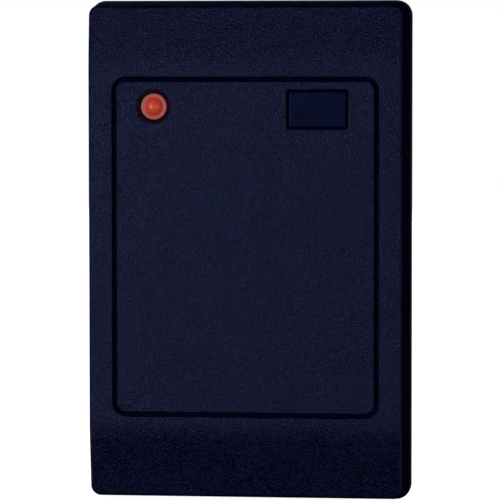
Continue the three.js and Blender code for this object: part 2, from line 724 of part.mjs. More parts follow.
function readerGroup() {
  const group = new THREE.Group();
  add(group, "front_housing", frontHousing(), blackPlastic);
  add(group, "badge_plate", badgePlate(), badgePlastic, BADGE.x, 0, BADGE.z);
  add(group, "light_guide", lightGuide(), redLens, LIGHT.x, 0, LIGHT.z);
  add(group, "status_led", statusLed(), whitePlastic, LIGHT.x, 0, LIGHT.z);
  add(group, "main_board", mainBoard(), laminate);
  add(group, "coil_bobbin", coilBobbin(), whitePlastic);
  add(group, "antenna_coil", antennaCoil(), copper);
  boardScrewPlaces.forEach(([x, z], i) => {
    add(group, `board_screw_${i + 1}`, boardScrew(), steel, x, 0, z);
  });
  add(group, "tamper_plunger", tamperPlunger(), whitePlastic, TAMPER.x, 0, TAMPER.z);
  add(group, "tamper_spring", tamperSpring(), steel, TAMPER.x, 0, TAMPER.z);
  group.add(boardParts());
  return group;
}

const reader = new THREE.Group();
reader.add(plateGroup(), readerGroup());

export default reader;
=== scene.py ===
"""The look of the wall-mounted proximity card reader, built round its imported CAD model.

Lengths are in millimetres until a mesh is made, where they become metres. The frame is the CAD's: +X to
the right as a user sees the reader, +Y into the wall, +Z up, and the origin on the wall face's centre.
"""

import json
import math

import bmesh
import bpy
from mathutils import Matrix, Vector
from mathutils.geometry import delaunay_2d_cdt


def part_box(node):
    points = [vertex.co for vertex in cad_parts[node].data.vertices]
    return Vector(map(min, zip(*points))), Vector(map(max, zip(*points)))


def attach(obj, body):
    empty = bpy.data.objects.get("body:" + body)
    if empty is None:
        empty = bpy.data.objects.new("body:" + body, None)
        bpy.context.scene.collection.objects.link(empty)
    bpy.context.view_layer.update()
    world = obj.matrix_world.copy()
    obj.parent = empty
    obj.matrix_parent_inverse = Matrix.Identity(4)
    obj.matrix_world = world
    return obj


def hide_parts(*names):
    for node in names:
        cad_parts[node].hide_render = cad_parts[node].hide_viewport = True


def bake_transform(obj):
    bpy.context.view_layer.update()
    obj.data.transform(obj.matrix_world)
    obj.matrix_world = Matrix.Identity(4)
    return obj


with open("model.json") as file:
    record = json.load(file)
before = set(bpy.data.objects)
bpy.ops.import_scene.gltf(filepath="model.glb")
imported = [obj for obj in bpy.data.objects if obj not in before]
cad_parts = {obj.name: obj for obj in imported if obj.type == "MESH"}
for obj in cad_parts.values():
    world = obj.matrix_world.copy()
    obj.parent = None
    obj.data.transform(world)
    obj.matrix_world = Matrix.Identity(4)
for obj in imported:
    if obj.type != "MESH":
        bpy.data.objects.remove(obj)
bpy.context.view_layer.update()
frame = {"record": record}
MM = 0.001
TAU = 2 * math.pi
JOIN_DISTANCE = 0.0004  # points closer than this are one point
BODY_OF = {
    node: body for body, nodes in frame["record"]["behaviour"]["bodies"].items() for node in nodes
}


def span(node):
    """Lowest corner, highest corner and middle of a CAD node's box at rest, in millimetres."""
    low, high = (Vector(corner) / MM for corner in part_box(node))
    return low, high, (low + high) / 2


def centre(node):
    return span(node)[2]


SCREWS = [centre(f"board_screw_{i + 1}") for i in range(4)]
PINS = [centre(f"header_pin_{i + 1}") for i in range(8)]


# ---------------------------------------------------------------- materials


class Shader:
    """A principled material with short-hands for the procedural detail on it."""

    def __init__(self, name, colour, roughness):
        self.material = bpy.data.materials.new(name)
        self.material.use_nodes = True
        self.nodes = self.material.node_tree.nodes
        self.links = self.material.node_tree.links
        self.base = self.nodes["Principled BSDF"]
        self.colour = colour
        self.roughness = roughness
        self.base.inputs["Base Color"].default_value = (*colour, 1)
        self.base.inputs["Roughness"].default_value = roughness
        self.place = self.nodes.new("ShaderNodeTexCoord").outputs["Object"]
        self.bump = None

    def set(self, **values):
        for key, value in values.items():
            self.base.inputs[key.replace("_", " ")].default_value = value
        return self

    def add(self, kind, settings=None, **inputs):
        """A new node whose inputs are set to a value or linked to another node's output."""
        node = self.nodes.new("ShaderNode" + kind)
        for key, value in (settings or {}).items():
            setattr(node, key, value)
        for key, value in inputs.items():
            socket = node.inputs[key.replace("_", " ")]
            if isinstance(value, bpy.types.NodeSocket):
                self.links.new(value, socket)
            else:
                socket.default_value = value
        return node

    def stretched(self, scale):
        """Object coordinates in millimetres, multiplied along each axis."""
        scale = [part / MM for part in scale]
        return self.add("Mapping", Scale=scale, Vector=self.place).outputs["Vector"]

    def noise(self, per_mm, detail=3.0, scale=(1, 1, 1)):
        vector = self.stretched(scale)
        return self.add("TexNoise", Scale=per_mm, Detail=detail, Vector=vector).outputs["Fac"]

    def cells(self, per_mm, feature="SMOOTH_F1", output="Distance"):
        """The distance to the middle of the nearest small cell, with soft borders."""
        vector = self.stretched((1, 1, 1))
        node = self.add("TexVoronoi", {"feature": feature}, Scale=per_mm, Vector=vector)
        return node.outputs[output]

    def grains(self, per_mm):
        """A random value for each small cell."""
        return self.cells(per_mm, "F1", "Color")

    def mapped(self, value, low, high, start=0.3, end=0.7):
        limits = {"From_Min": start, "From_Max": end, "To_Min": low, "To_Max": high}
        return self.add("MapRange", Value=value, **limits).outputs["Result"]

    def math(self, operation, first, second):
        node = self.nodes.new("ShaderNodeMath")
        node.operation = operation
        for socket, value in zip(node.inputs, (first, second)):
            if isinstance(value, (int, float)):
                socket.default_value = value
            else:
                self.links.new(value, socket)
        return node.outputs["Value"]

    def vector(self, operation, first, second=(0, 0, 0), output="Vector"):
        node = self.nodes.new("ShaderNodeVectorMath")
        node.operation = operation
        node.inputs[1].default_value = second
        self.links.new(first, node.inputs[0])
        return node.outputs[output]

    def tint(self, factor, other):
        """Mixes another colour into the base colour where factor is high."""
        socket = self.base.inputs["Base Color"]
        before = socket.links[0].from_socket if socket.is_linked else (*self.colour, 1)
        node = self.add("Mix", {"data_type": "RGBA"}, Factor=factor, A=before, B=(*other, 1))
        self.links.new(node.outputs["Result"], socket)
        return self

    def tone(self, per_mm, amount, detail=4.0, scale=(1, 1, 1)):
        """Soft patches of a lighter tone of the base colour."""
        lighter = [min(1.0, part * (1 + amount)) for part in self.colour]
        return self.tint(self.mapped(self.noise(per_mm, detail, scale), 0, 1), lighter)

    def wear(self, per_mm, spread, detail=4.0, scale=(1, 1, 1)):
        """Roughness that varies by the given spread either side of the material's own."""
        low, high = self.roughness - spread, self.roughness + spread
        result = self.mapped(self.noise(per_mm, detail, scale), max(low, 0.03), min(high, 1))
        self.links.new(result, self.base.inputs["Roughness"])
        return self

    def relief(self, height, depth_mm):
        """A bump of the given depth, on top of any bump already there."""
        node = self.add("Bump", Strength=1.0, Distance=depth_mm * MM, Height=height)
        if self.bump:
            self.links.new(self.bump, node.inputs["Normal"])
        self.bump = node.outputs["Normal"]
        self.links.new(self.bump, self.base.inputs["Normal"])
        return self


def spark_grain(shader, cells_per_mm, depth_mm):
    """The fine pitted texture that a spark-eroded mould leaves on a plastic skin."""
    pits = shader.math("ADD", shader.cells(cells_per_mm), shader.noise(cells_per_mm * 1.2, 2.0))
    return shader.relief(pits, depth_mm)


def make_materials():
    made = {}

    def plain(key, name, colour, roughness, tone, wear, grain, depth_mm, **values):
        shader = Shader(name, colour, roughness).set(**values)
        shader.tone(*tone).wear(*wear)
        made[key] = shader.relief(shader.noise(*grain), depth_mm)

    housing = Shader("housing_plastic", (0.0003, 0.0002, 0.0032), 0.31)
    housing.set(Specular_Tint=(0.37, 0.50, 1.0, 1))
    housing.tone(0.035, 0.35)
    housing.tint(housing.mapped(housing.grains(3.0), 0, 1, 0.35, 0.75), (0.0080, 0.0070, 0.0460))
    housing.wear(0.05, 0.03)
    made["housing"] = spark_grain(housing, 2.7, 0.074)

    plate = Shader("plate_plastic", (0.0150, 0.0160, 0.0205), 0.45)
    plate.tone(0.05, 0.4)
    plate.tint(plate.mapped(plate.grains(1.9), 0, 1, 0.35, 0.8), (0.0290, 0.0300, 0.0350))
    plate.wear(0.08, 0.05)
    made["plate"] = spark_grain(plate, 1.9, 0.07)

    # Each row: key, name, colour, roughness, tone, wear, noise of the bump, depth of the bump in mm.
    plain("badge", "badge_plastic", (0.0023, 0.0038, 0.0225), 0.25, (0.5, 0.45), (0.25, 0.03),
          (1.2, 3.0), 0.003, Specular_Tint=(0.20, 0.31, 0.80, 1))
    plain("rubber", "rubber", (0.012, 0.012, 0.013), 0.8, (0.3, 0.5), (0.5, 0.08), (2.5, 4.0), 0.02)
    plain("steel", "zinc_steel", (0.56, 0.57, 0.6), 0.27, (0.6, 0.12), (1.5, 0.08), (5.0, 3.0), 0.004,
          Metallic=1.0)
    plain("brass", "brass", (0.66, 0.47, 0.2), 0.28, (0.8, 0.15), (1.5, 0.08), (1.0, 2.0, (0.3, 4, 4)), 0.004,
          Metallic=1.0)
    plain("nylon", "nylon", (0.66, 0.64, 0.58), 0.45, (0.4, 0.08), (0.8, 0.06), (2.0, 3.0), 0.006,
          Subsurface_Weight=0.15, Subsurface_Scale=0.5 * MM)
    plain("trace", "board_trace", (0.012, 0.150, 0.050), 0.28, (0.3, 0.2), (0.8, 0.05), (3.0, 2.0), 0.003)
    plain("board_edge", "board_edge", (0.22, 0.24, 0.11), 0.7, (0.5, 0.3, 3.0, (0.2, 8, 0.2)), (0.8, 0.08),
          (1.5, 3.0, (0.4, 5, 0.4)), 0.02)
    plain("solder", "solder", (0.60, 0.61, 0.62), 0.24, (1.0, 0.2), (1.5, 0.1), (2.0, 3.0), 0.008,
          Metallic=1.0)
    plain("epoxy", "moulded_epoxy", (0.012, 0.012, 0.014), 0.48, (0.8, 0.4), (1.0, 0.07), (6.0, 3.0), 0.008)
    plain("alumina", "alumina", (0.62, 0.61, 0.58), 0.5, (1.0, 0.1), (1.0, 0.08), (6.0, 3.0), 0.005)
    plain("ceramic", "tan_ceramic", (0.36, 0.24, 0.12), 0.42, (1.2, 0.25), (1.5, 0.08), (4.0, 3.0), 0.006)
    plain("can", "drawn_can", (0.68, 0.69, 0.71), 0.25, (0.3, 0.1), (0.8, 0.07, 3.0, (1, 0.2, 1)),
          (1.0, 2.0, (5, 0.4, 5)), 0.003, Metallic=1.0)
    plain("copper", "enamelled_copper", (0.42, 0.125, 0.045), 0.3, (0.25, 0.35, 3.0), (0.6, 0.08),
          (2.0, 3.0), 0.008, Metallic=0.85, Coat_Weight=0.6, Coat_Roughness=0.15)
    plain("led_body", "led_body", (0.78, 0.76, 0.7), 0.4, (0.8, 0.06), (1.0, 0.06), (4.0, 2.0), 0.004)
    plain("resin", "led_resin", (0.75, 0.52, 0.18), 0.12, (0.8, 0.2), (1.0, 0.04), (2.0, 2.0), 0.003,
          Transmission_Weight=0.4, Coat_Weight=0.5)
    plain("ink", "black_ink", (0.02, 0.02, 0.022), 0.5, (1.0, 0.3), (1.0, 0.08), (4.0, 2.0), 0.003)

    laminate = Shader("board_mask", (0.006, 0.085, 0.030), 0.3)
    laminate.tone(0.08, 0.25).wear(0.3, 0.06)
    along = laminate.noise(1.0, 1.0, (0.35, 1, 2.4))
    across = laminate.noise(1.0, 1.0, (2.4, 1, 0.35))
    made["board"] = laminate.relief(laminate.math("ADD", along, across), 0.006)

    made["lens"] = lens_material()
    return made


def lens_material():
    """Diffusing red acrylic: deeper in the middle, with a paler ring near the rim that is a painted highlight
    standing in for the light the rounded rim catches.
    """
    lens = Shader("red_acrylic", (0.71, 0.050, 0.027), 0.3)
    lens.set(Subsurface_Weight=0.35, Subsurface_Scale=1.2 * MM, Subsurface_Radius=(1.0, 0.25, 0.15))
    lens.set(Coat_Weight=0.12, Coat_Roughness=0.1)
    lens.set(Emission_Color=(0.70, 0.06, 0.03, 1), Emission_Strength=0.08)
    from_middle = lens.vector("SUBTRACT", lens.place, centre("light_guide") * MM)
    flat = lens.vector("MULTIPLY", from_middle, (1 / MM, 0, 1 / MM))
    radius = lens.vector("LENGTH", flat, output="Value")
    lens.tint(lens.mapped(radius, 1, 0, 0.3, 1.6), (0.80, 0.130, 0.040))
    # Painted highlight: the paler pinkish ring near the lens's rim stands in for light caught by the rounded
    # rim.
    lens.tint(lens.mapped(radius, 0, 1, 2.0, 2.45), (0.60, 0.210, 0.165))
    lens.wear(0.8, 0.04)
    return lens.relief(lens.noise(1.5, 2.0), 0.004)


# ---------------------------------------------------------------- mesh helpers


def new_mesh(name, verts, faces):
    mesh = bpy.data.meshes.new(name)
    mesh.from_pydata([tuple(Vector(v) * MM) for v in verts], [], [tuple(f) for f in faces])
    return mesh


def cleaned(mesh):
    """Joins doubled points and turns every normal outward."""
    work = bmesh.new()
    work.from_mesh(mesh)
    bmesh.ops.remove_doubles(work, verts=work.verts, dist=JOIN_DISTANCE * MM)
    bmesh.ops.recalc_face_normals(work, faces=work.faces)
    work.to_mesh(mesh)
    work.free()
    return mesh


def linked(name, data):
    obj = bpy.data.objects.new(name, data)
    bpy.context.collection.objects.link(obj)
    return obj


def smoothed(mesh, sharp):
    """Smooth shading, with a hard edge wherever two faces meet at more than the given angle."""
    mesh.polygons.foreach_set("use_smooth", [True] * len(mesh.polygons))
    mesh.set_sharp_from_angle(angle=math.radians(sharp))


def piece(name, verts, faces, look, node=None, body=None, sharp=40, slot=None, kinds=None, weighted=True):
    """A mesh object that rides on a body and, where it has one, stands for a CAD node.

    look is one material name or several; kinds then gives each face's material number.
    """
    mesh = new_mesh(name, verts, faces)
    for look_name in [look] if isinstance(look, str) else look:
        mesh.materials.append(MATERIALS[look_name].material)
    if kinds:
        mesh.polygons.foreach_set("material_index", kinds)
    mesh.validate()
    return settle(linked(name, mesh), node, body, sharp, weighted)


def settle(obj, node=None, body=None, sharp=40, weighted=True):
    """Clean normals, smooth shading with sharp edges, and the object's place in the frame."""
    smoothed(cleaned(obj.data), sharp)
    if weighted:
        modifier = obj.modifiers.new("weighted", "WEIGHTED_NORMAL")
        modifier.keep_sharp = True
    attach(obj, body or BODY_OF[node])
    if node:
        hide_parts(node)
    return obj


def mixed_piece(name, forms, looks, node=None, **more):
    """One piece made of several (form, material number) pairs."""
    verts, faces = merged(*[form for form, _ in forms])
    kinds = [number for (_, form_faces), number in forms for _ in form_faces]
    return piece(name, verts, faces, looks, node, kinds=kinds, **more)


def temporary(name, verts, faces):
    """A mesh object with no material or body yet, to join, cut or finish."""
    return linked(name, cleaned(new_mesh(name, verts, faces)))


def painted(obj, look, node, sharp):
    """Gives a cut or joined form its material and settles it as its node's piece."""
    obj.data.materials.clear()
    obj.data.materials.append(MATERIALS[look].material)
    return settle(obj, node, sharp=sharp)


def combine(base, forms, operation):
    """Joins or cuts the base with each form, or object, in turn; the objects are used up."""
    tools = [form if isinstance(form, bpy.types.Object) else temporary("tool", *form) for form in forms]
    for tool in tools:
        modifier = base.modifiers.new("combine", "BOOLEAN")
        modifier.operation = operation
        modifier.solver = "EXACT"
        modifier.object = tool
        bpy.context.view_layer.update()
        result = bpy.data.meshes.new_from_object(base.evaluated_get(bpy.context.evaluated_depsgraph_get()))
        base.modifiers.clear()
        base.data = result
        bpy.data.objects.remove(tool)
    return base


def cutting(base, *forms):
    return combine(base, forms, "DIFFERENCE")


def joining(base, *forms):
    return combine(base, forms, "UNION")


def rings_to_faces(rings, count, closed_ends=True, loop=False):
    """Quads between rings of equal size, with a fan-free flat cap at each end if asked."""
    faces = []
    last = rings if loop else rings - 1
    for k in range(last):
        for j in range(count):
            a, b = k * count + j, k * count + (j + 1) % count
            c, d = ((k + 1) % rings) * count + (j + 1) % count, ((k + 1) % rings) * count + j
            faces.append((a, b, c, d))
    if closed_ends and not loop:
        faces.append(tuple(reversed(range(count))))
        faces.append(tuple(range((rings - 1) * count, rings * count)))
    return faces


def raised(base, profile):
    """A profile of (radius, height) pairs whose heights are counted from a base."""
    return [(radius, base + height) for radius, height in profile]


def turned(place, axis, radius, height, angle):
    """A point at a radius and angle round an axis through place, "y" or "z"."""
    u, v = radius * math.cos(angle), radius * math.sin(angle)
    if axis == "y":
        return Vector((place[0] + u, height, place[2] + v))
    return Vector((place[0] + u, place[1] + v, height))


def lathe(profile, place, axis, sides=48):
    """Vertices and faces of a turned form. profile holds (radius, height) pairs; a closed profile turns
    into a ring, and one whose ends lie on the axis turns into a closed body. axis is "y" or "z"."""
    on_axis = profile[0][0] < 1e-6 and profile[-1][0] < 1e-6
    ring = profile[1:-1] if on_axis else profile
    verts = [
        turned(place, axis, radius, height, TAU * j / sides) for radius, height in ring for j in range(sides)
    ]
    faces = rings_to_faces(len(ring), sides, closed_ends=False, loop=not on_axis)
    if on_axis:
        for row, (_, height) in ((0, profile[0]), (len(ring) - 1, profile[-1])):
            verts.append(turned(place, axis, 0, height, 0))
            tip = len(verts) - 1
            faces += [(row * sides + j, row * sides + (j + 1) % sides, tip) for j in range(sides)]
    return verts, faces


def arc(cx, cy, radius, start, end, steps=6):
    """Points on an arc, angles in degrees."""
    angles = [math.radians(start + (end - start) * i / steps) for i in range(steps + 1)]
    return [(cx + radius * math.cos(a), cy + radius * math.sin(a)) for a in angles]


def round_rect(width, height, radius, x=0.0, z=0.0, steps=8):
    """A closed outline of (x, z) points, anticlockwise as seen from the front."""
    across, up = width / 2 - radius, height / 2 - radius
    corners = [(1, -1, -90), (1, 1, 0), (-1, 1, 90), (-1, -1, 180)]
    points = []
    for sx, sz, start in corners:
        points += arc(x + sx * across, z + sz * up, radius, start, start + 90, steps)
    return points


def prism(outline, from_depth, to_depth):
    """An (x, z) outline given thickness between two depths from the wall."""
    count = len(outline)
    verts = [(x, -depth, z) for depth in (from_depth, to_depth) for x, z in outline]
    return verts, rings_to_faces(2, count)


def stacked(outlines_and_depths):
    """A closed body through outlines of equal size at given depths."""
    count = len(outlines_and_depths[0][0])
    verts = [(x, -depth, z) for outline, depth in outlines_and_depths for x, z in outline]
    return verts, rings_to_faces(len(outlines_and_depths), count)


def insets(width, height, corner, x, z, steps, layers, follow=True):
    """A closed body through a rounded rectangle at each (inset, depth) of layers.

    With follow, the corner's radius shrinks with the inset.
    """
    return stacked([
        (round_rect(width - 2 * i, height - 2 * i, corner - i if follow else corner, x, z, steps), depth)
        for i, depth in layers
    ])


def extruded(section, *ends):
    """A (y, z) section given width between two x positions."""
    return [(x, y, z) for x in ends for y, z in section], rings_to_faces(2, len(section))


def upright(section, *ends):
    """An (x, y) section given height between two z positions."""
    return [(x, y, z) for z in ends for x, y in section], rings_to_faces(2, len(section))


def box_form(low, high, bevel=0.0, segments=2):
    """Vertices and faces of a block with rounded edges."""
    work = bmesh.new()
    bmesh.ops.create_cube(work, size=1.0)
    size = Vector(high) - Vector(low)
    middle = (Vector(high) + Vector(low)) / 2
    for vert in work.verts:
        vert.co = Vector((vert.co.x * size.x, vert.co.y * size.y, vert.co.z * size.z)) + middle
    if bevel:
        edges = list(work.edges)
        bmesh.ops.bevel(work, geom=edges, offset=bevel, segments=segments, profile=0.5, affect="EDGES")
    verts = [v.co.copy() for v in work.verts]
    work.verts.index_update()
    faces = [tuple(v.index for v in f.verts) for f in work.faces]
    work.free()
    return verts, faces


def merged(*forms):
    """Several (verts, faces) forms as one."""
    verts, faces = [], []
    for form_verts, form_faces in forms:
        offset = len(verts)
        verts += list(form_verts)
        faces += [tuple(i + offset for i in face) for face in form_faces]
    return verts, faces


def tube(points, radius, sides=10, closed=False):
    """A round tube along points, with flat ends."""
    points = [Vector(p) for p in points]
    count = len(points)
    verts = []
    normal = None
    for i, point in enumerate(points):
        before = points[i - 1] if i or closed else point
        after = points[(i + 1) % count] if i + 1 < count or closed else point
        along = (after - before).normalized()
        if normal is None:
            seed = Vector((0, 0, 1)) if abs(along.z) < 0.9 else Vector((1, 0, 0))
            normal = along.cross(seed).normalized()
        normal = (normal - along * normal.dot(along)).normalized()
        other = along.cross(normal)
        for j in range(sides):
            angle = TAU * j / sides
            verts.append(point + radius * (normal * math.cos(angle) + other * math.sin(angle)))
    return verts, rings_to_faces(count, sides, closed_ends=not closed, loop=closed)


def ribbon(points, half_across, half_thick, across):
    """A flat strip along points. across is the direction of its width."""
    points = [Vector(p) for p in points]
    across = Vector(across).normalized()
    verts = []
    for i, point in enumerate(points):
        before, after = points[max(i - 1, 0)], points[min(i + 1, len(points) - 1)]
        along = (after - before).normalized()
        thick = along.cross(across).normalized()
        for u, v in ((-1, -1), (1, -1), (1, 1), (-1, 1)):
            verts.append(point + across * half_across * u + thick * half_thick * v)
    return verts, rings_to_faces(len(points), 4)


def screw_thread(place, axis_low, axis_high, crest, root, pitch, axis, sides=24, taper=0.0, tip_at="high"):
    """A threaded rod between two heights, with flat ends. The thread fades out over the taper."""
    rows = max(2, int((axis_high - axis_low) / pitch * 8))
    verts = []
    for k in range(rows + 1):
        height = axis_low + (axis_high - axis_low) * k / rows
        from_tip = axis_high - height if tip_at == "high" else height - axis_low
        fade = min(1.0, from_tip / taper) if taper else 1.0
        for j in range(sides):
            phase = (height / pitch - j / sides) % 1.0
            wave = 1 - abs(2 * phase - 1)
            radius = root + (crest - root) * wave * fade
            verts.append(turned(place, axis, radius, height, TAU * j / sides))
    return verts, rings_to_faces(rows + 1, sides)


# ---------------------------------------------------------------- the housing

WIDTH, HEIGHT, DEPTH = 75.0, 116.0, 15.0
CORNER_RADIUS = 3.5
DRAFT = 1.2
EDGE_RADIUS = 0.8
SIDE_WALL, FRONT_WALL = 2.2, 2.2
TOP_CREASE, BOTTOM_CREASE = 43.9, -41.4
TOP_FALL, BOTTOM_FALL = 1.4, 2.6
CREASE_BLEND = 2.5
PANEL_WIDTH, PANEL_HEIGHT, PANEL_Z, PANEL_RADIUS = 60.5, 77.2, 1.15, 2.6
GROOVE_WIDTH, GROOVE_DEPTH, GROOVE_ROOT, GROOVE_LIP = 1.2, 1.2, 0.02, 0.16
LIGHT_X, LIGHT_Z, LIGHT_LENS, LIGHT_BORE = -21.1, 33.5, 2.98, 3.05
LIGHT_MOUTH, LIGHT_MOUTH_DEPTH = 4.05, 1.3
BADGE_MARGIN = 0.5
BADGE_X, BADGE_Z, BADGE_WIDTH, BADGE_HEIGHT, BADGE_POCKET = 16.6, 32.85, 14.0, 9.0, 0.85
RIM = 3.1
TOP_RELIEF = 0.8
PIVOT_DEPTH, PIVOT_Z, HANGER_RADIUS, HANGER_HALF = 4.8, 54.6, 0.5, 27.0
LOCK_DEPTH, LOCK_FLOOR_Z, LOCK_FLOOR = 6.5, -55.5, 1.3
PAD_HALF, PAD_DEPTH = 6.0, 11.3
NOTCH_SHANK, NOTCH_HEAD = 1.8, 3.3


def fall_past(distance, slope):
    """How far a surface falls back at a distance past a crease, with the crease rounded."""
    if distance <= -CREASE_BLEND:
        return 0.0
    if distance >= CREASE_BLEND:
        return slope * distance
    return slope * (distance + CREASE_BLEND) ** 2 / (4 * CREASE_BLEND)


def front_fall(z):
    top_slope = TOP_FALL / (HEIGHT / 2 - TOP_CREASE)
    bottom_slope = BOTTOM_FALL / (HEIGHT / 2 + BOTTOM_CREASE)
    return fall_past(z - TOP_CREASE, top_slope) + fall_past(BOTTOM_CREASE - z, bottom_slope)


def front_levels(steps):
    """Heights at which the case needs points, so that its creases come out round."""
    return [
        crease + CREASE_BLEND * (2 * k / steps - 1)
        for crease in (BOTTOM_CREASE, TOP_CREASE)
        for k in range(steps + 1)
    ]


def case_ring(inset, depth_at, corner_steps, levels):
    """One closed ring of the case: up the right side, then down the left."""
    radius = max(CORNER_RADIUS - inset, 0.4)
    across = WIDTH / 2 - inset - radius
    right = arc(across, -HEIGHT / 2 + inset + radius, radius, -90, 0, corner_steps)
    right += [(across + radius, z) for z in levels]
    right += arc(across, HEIGHT / 2 - inset - radius, radius, 0, 90, corner_steps)
    left = [(-x, z) for x, z in reversed(right)]
    return [(x, -depth_at(z), z) for x, z in right + left]


def ladder(count, offset, flip):
    """Strips across a ring made by case_ring, from one side's points to the other's."""
    faces = []
    for i in range(count // 2 - 1):
        face = (offset + i, offset + i + 1, offset + count - 2 - i, offset + count - 1 - i)
        faces.append(tuple(reversed(face)) if flip else face)
    return faces


def loft(rings):
    count = len(rings[0])
    verts = [point for ring in rings for point in ring]
    faces = rings_to_faces(len(rings), count, closed_ends=False)
    faces += ladder(count, 0, True) + ladder(count, (len(rings) - 1) * count, False)
    return verts, faces


def draft_at(depth):
    return DRAFT * depth / DEPTH


def case_form(corner_steps=10, edge_steps=7):
    levels = front_levels(8)
    rings = [case_ring(draft_at(RIM) + 0.12, lambda z: RIM, corner_steps, levels)]
    rings.append(case_ring(draft_at(RIM), lambda z: RIM + 0.12, corner_steps, levels))
    for i in range(edge_steps + 1):
        angle = math.pi / 2 * i / edge_steps
        back = EDGE_RADIUS * (1 - math.sin(angle))
        inward = EDGE_RADIUS * (1 - math.cos(angle))
        rings.append(
            case_ring(DRAFT + inward, lambda z, b=back: DEPTH - front_fall(z) - b, corner_steps, levels)
        )
    return loft(rings)


def cavity_form():
    levels = front_levels(4)
    rings = [case_ring(SIDE_WALL + draft_at(RIM), lambda z: RIM - 1, 6, levels)]
    for inward, short in ((0.0, 0.6), (0.18, 0.18), (0.6, 0.0)):
        rings.append(
            case_ring(
                SIDE_WALL + DRAFT + inward,
                lambda z, back=short: DEPTH - front_fall(z) - FRONT_WALL - back,
                6,
                levels,
            )
        )
    return loft(rings)


def swept_round(section, width, height, radius, x, z):
    """A section of (outward, forward) points taken round a rounded rectangle on the front."""
    verts = []
    for out, forward in section:
        ring = round_rect(width + 2 * out, height + 2 * out, radius + out, x, z, 10)
        verts += [(px, -(DEPTH + forward), pz) for px, pz in ring]
    count = len(verts) // len(section)
    return verts, rings_to_faces(len(section), count, closed_ends=False, loop=True)


def groove_tool():
    """The groove's V-section, with a small flat root and round lips, taken round the panel."""
    half, root, lip = GROOVE_WIDTH / 2, GROOVE_ROOT / 2, GROOVE_LIP
    slant = math.degrees(math.atan2(GROOVE_DEPTH, half - root))
    # The lip is an arc that leaves the slanted wall smoothly and meets the face level.
    reach = lip * math.tan(math.radians(slant) / 2)
    right = [(root, -GROOVE_DEPTH)]
    right += arc(half + reach, -lip, lip, 90 + slant, 91, 5)
    right.append((right[-1][0], 0.6))
    section = [(-u, v) for u, v in reversed(right)] + right
    return swept_round(section, PANEL_WIDTH, PANEL_HEIGHT, PANEL_RADIUS, 0, PANEL_Z)


def light_hole_tool():
    """The status light's hole through the front wall, with a conical mouth and a round lip."""
    lip = 0.14
    inner = DEPTH - FRONT_WALL - 1
    slant = math.degrees(math.atan2(LIGHT_MOUTH_DEPTH, LIGHT_MOUTH - LIGHT_BORE))
    edge = LIGHT_MOUTH + lip * math.tan(math.radians(slant) / 2)
    profile = [(0, -inner), (LIGHT_BORE, -inner), (LIGHT_BORE, -(DEPTH - LIGHT_MOUTH_DEPTH))]
    profile += [(r, -(DEPTH + h)) for r, h in arc(edge, -lip, lip, 90 + slant, 91, 5)]
    profile += [(edge, -(DEPTH + 0.6)), (0, -(DEPTH + 0.6))]
    return lathe(profile, (LIGHT_X, 0, LIGHT_Z), "y", 64)


def badge_tool():
    """The badge's pocket, with a round lip."""
    lip, gap = 0.1, 0.1
    wall = [(0.0, -BADGE_POCKET), (0.0, -lip)] + arc(lip, -lip, lip, 180, 92, 4) + [(lip, 0.5)]
    layers = [(-out, DEPTH + v) for out, v in wall]
    return insets(BADGE_WIDTH + 2 * gap, BADGE_HEIGHT + 2 * gap, 0.4, BADGE_X, BADGE_Z, 5, layers)


def badge_trench_tool():
    """A V-trench in the floor of the badge's pocket, all round the badge."""
    inner, outer = -BADGE_MARGIN, 0.08
    top, bottom = -(BADGE_POCKET - 0.1), -(BADGE_POCKET + 0.9)
    section = [(inner, top), ((inner + outer) / 2, bottom), (outer, top)]
    return swept_round(section, BADGE_WIDTH, BADGE_HEIGHT, 0.75, BADGE_X, BADGE_Z)


def notch_tool(radius, low, high):
    """A slot round the lock screw's axis, open towards the wall."""
    return upright([(radius, 1.0)] + arc(0, -LOCK_DEPTH, radius, 0, -180, 20) + [(-radius, 1.0)], low, high)


def build_housing():
    shell = temporary("front_housing_visual", *case_form())
    cutting(shell, cavity_form())
    boss = [(0, -10), (2.55, -10), (2.8, -10.25), (2.8, -12.4), (3.2, -12.75), (3.2, -13.4), (0, -13.4)]
    pilot = [(0, -9), (1.05, -9), (1.05, -13.6), (0, -13.6)]
    top = HEIGHT / 2 - SIDE_WALL + 0.6
    hanger = [(-PIVOT_DEPTH + HANGER_RADIUS, top)]
    hanger += arc(-PIVOT_DEPTH, PIVOT_Z, HANGER_RADIUS, 0, -180, 10) + [(-PIVOT_DEPTH - HANGER_RADIUS, top)]
    pad_low = (-PAD_HALF, -PAD_DEPTH, -HEIGHT / 2 + SIDE_WALL - 0.5)
    joining(
        shell,
        *[lathe(boss, place, "y", 32) for place in SCREWS],
        extruded(hanger, -HANGER_HALF, HANGER_HALF),
        box_form(pad_low, (PAD_HALF, -RIM, LOCK_FLOOR_Z + LOCK_FLOOR)),
    )
    cutting(
        shell,
        box_form((-60, -(RIM + TOP_RELIEF), PIVOT_Z - 0.2), (60, 1, 70)),
        notch_tool(NOTCH_SHANK, LOCK_FLOOR_Z - 1, LOCK_FLOOR_Z + LOCK_FLOOR + 1),
        notch_tool(NOTCH_HEAD, -70, LOCK_FLOOR_Z),
        groove_tool(),
        light_hole_tool(),
        badge_tool(),
        badge_trench_tool(),
        *[lathe(pilot, place, "y", 20) for place in SCREWS],
    )
    assert len(shell.data.polygons) > 1000, "the housing's cuts failed"
    painted(shell, "housing", "front_housing", 38)


def build_badge():
    low, high, _ = span("badge_plate")
    back, front = -high.y, -low.y
    edge, outer = 0.22, BADGE_MARGIN
    corner = outer + edge + 0.25
    layers = [(outer + 0.06, back), (outer, back + 0.06), (outer, front - edge)]
    layers += [(outer + edge - u, front - edge + v) for u, v in arc(0, 0, edge, 0, 90, 5)]
    form = insets(BADGE_WIDTH, BADGE_HEIGHT, corner, BADGE_X, BADGE_Z, 5, layers)
    piece("badge_plate_visual", *form, "badge", "badge_plate", sharp=50)


# ---------------------------------------------------------------- the status light


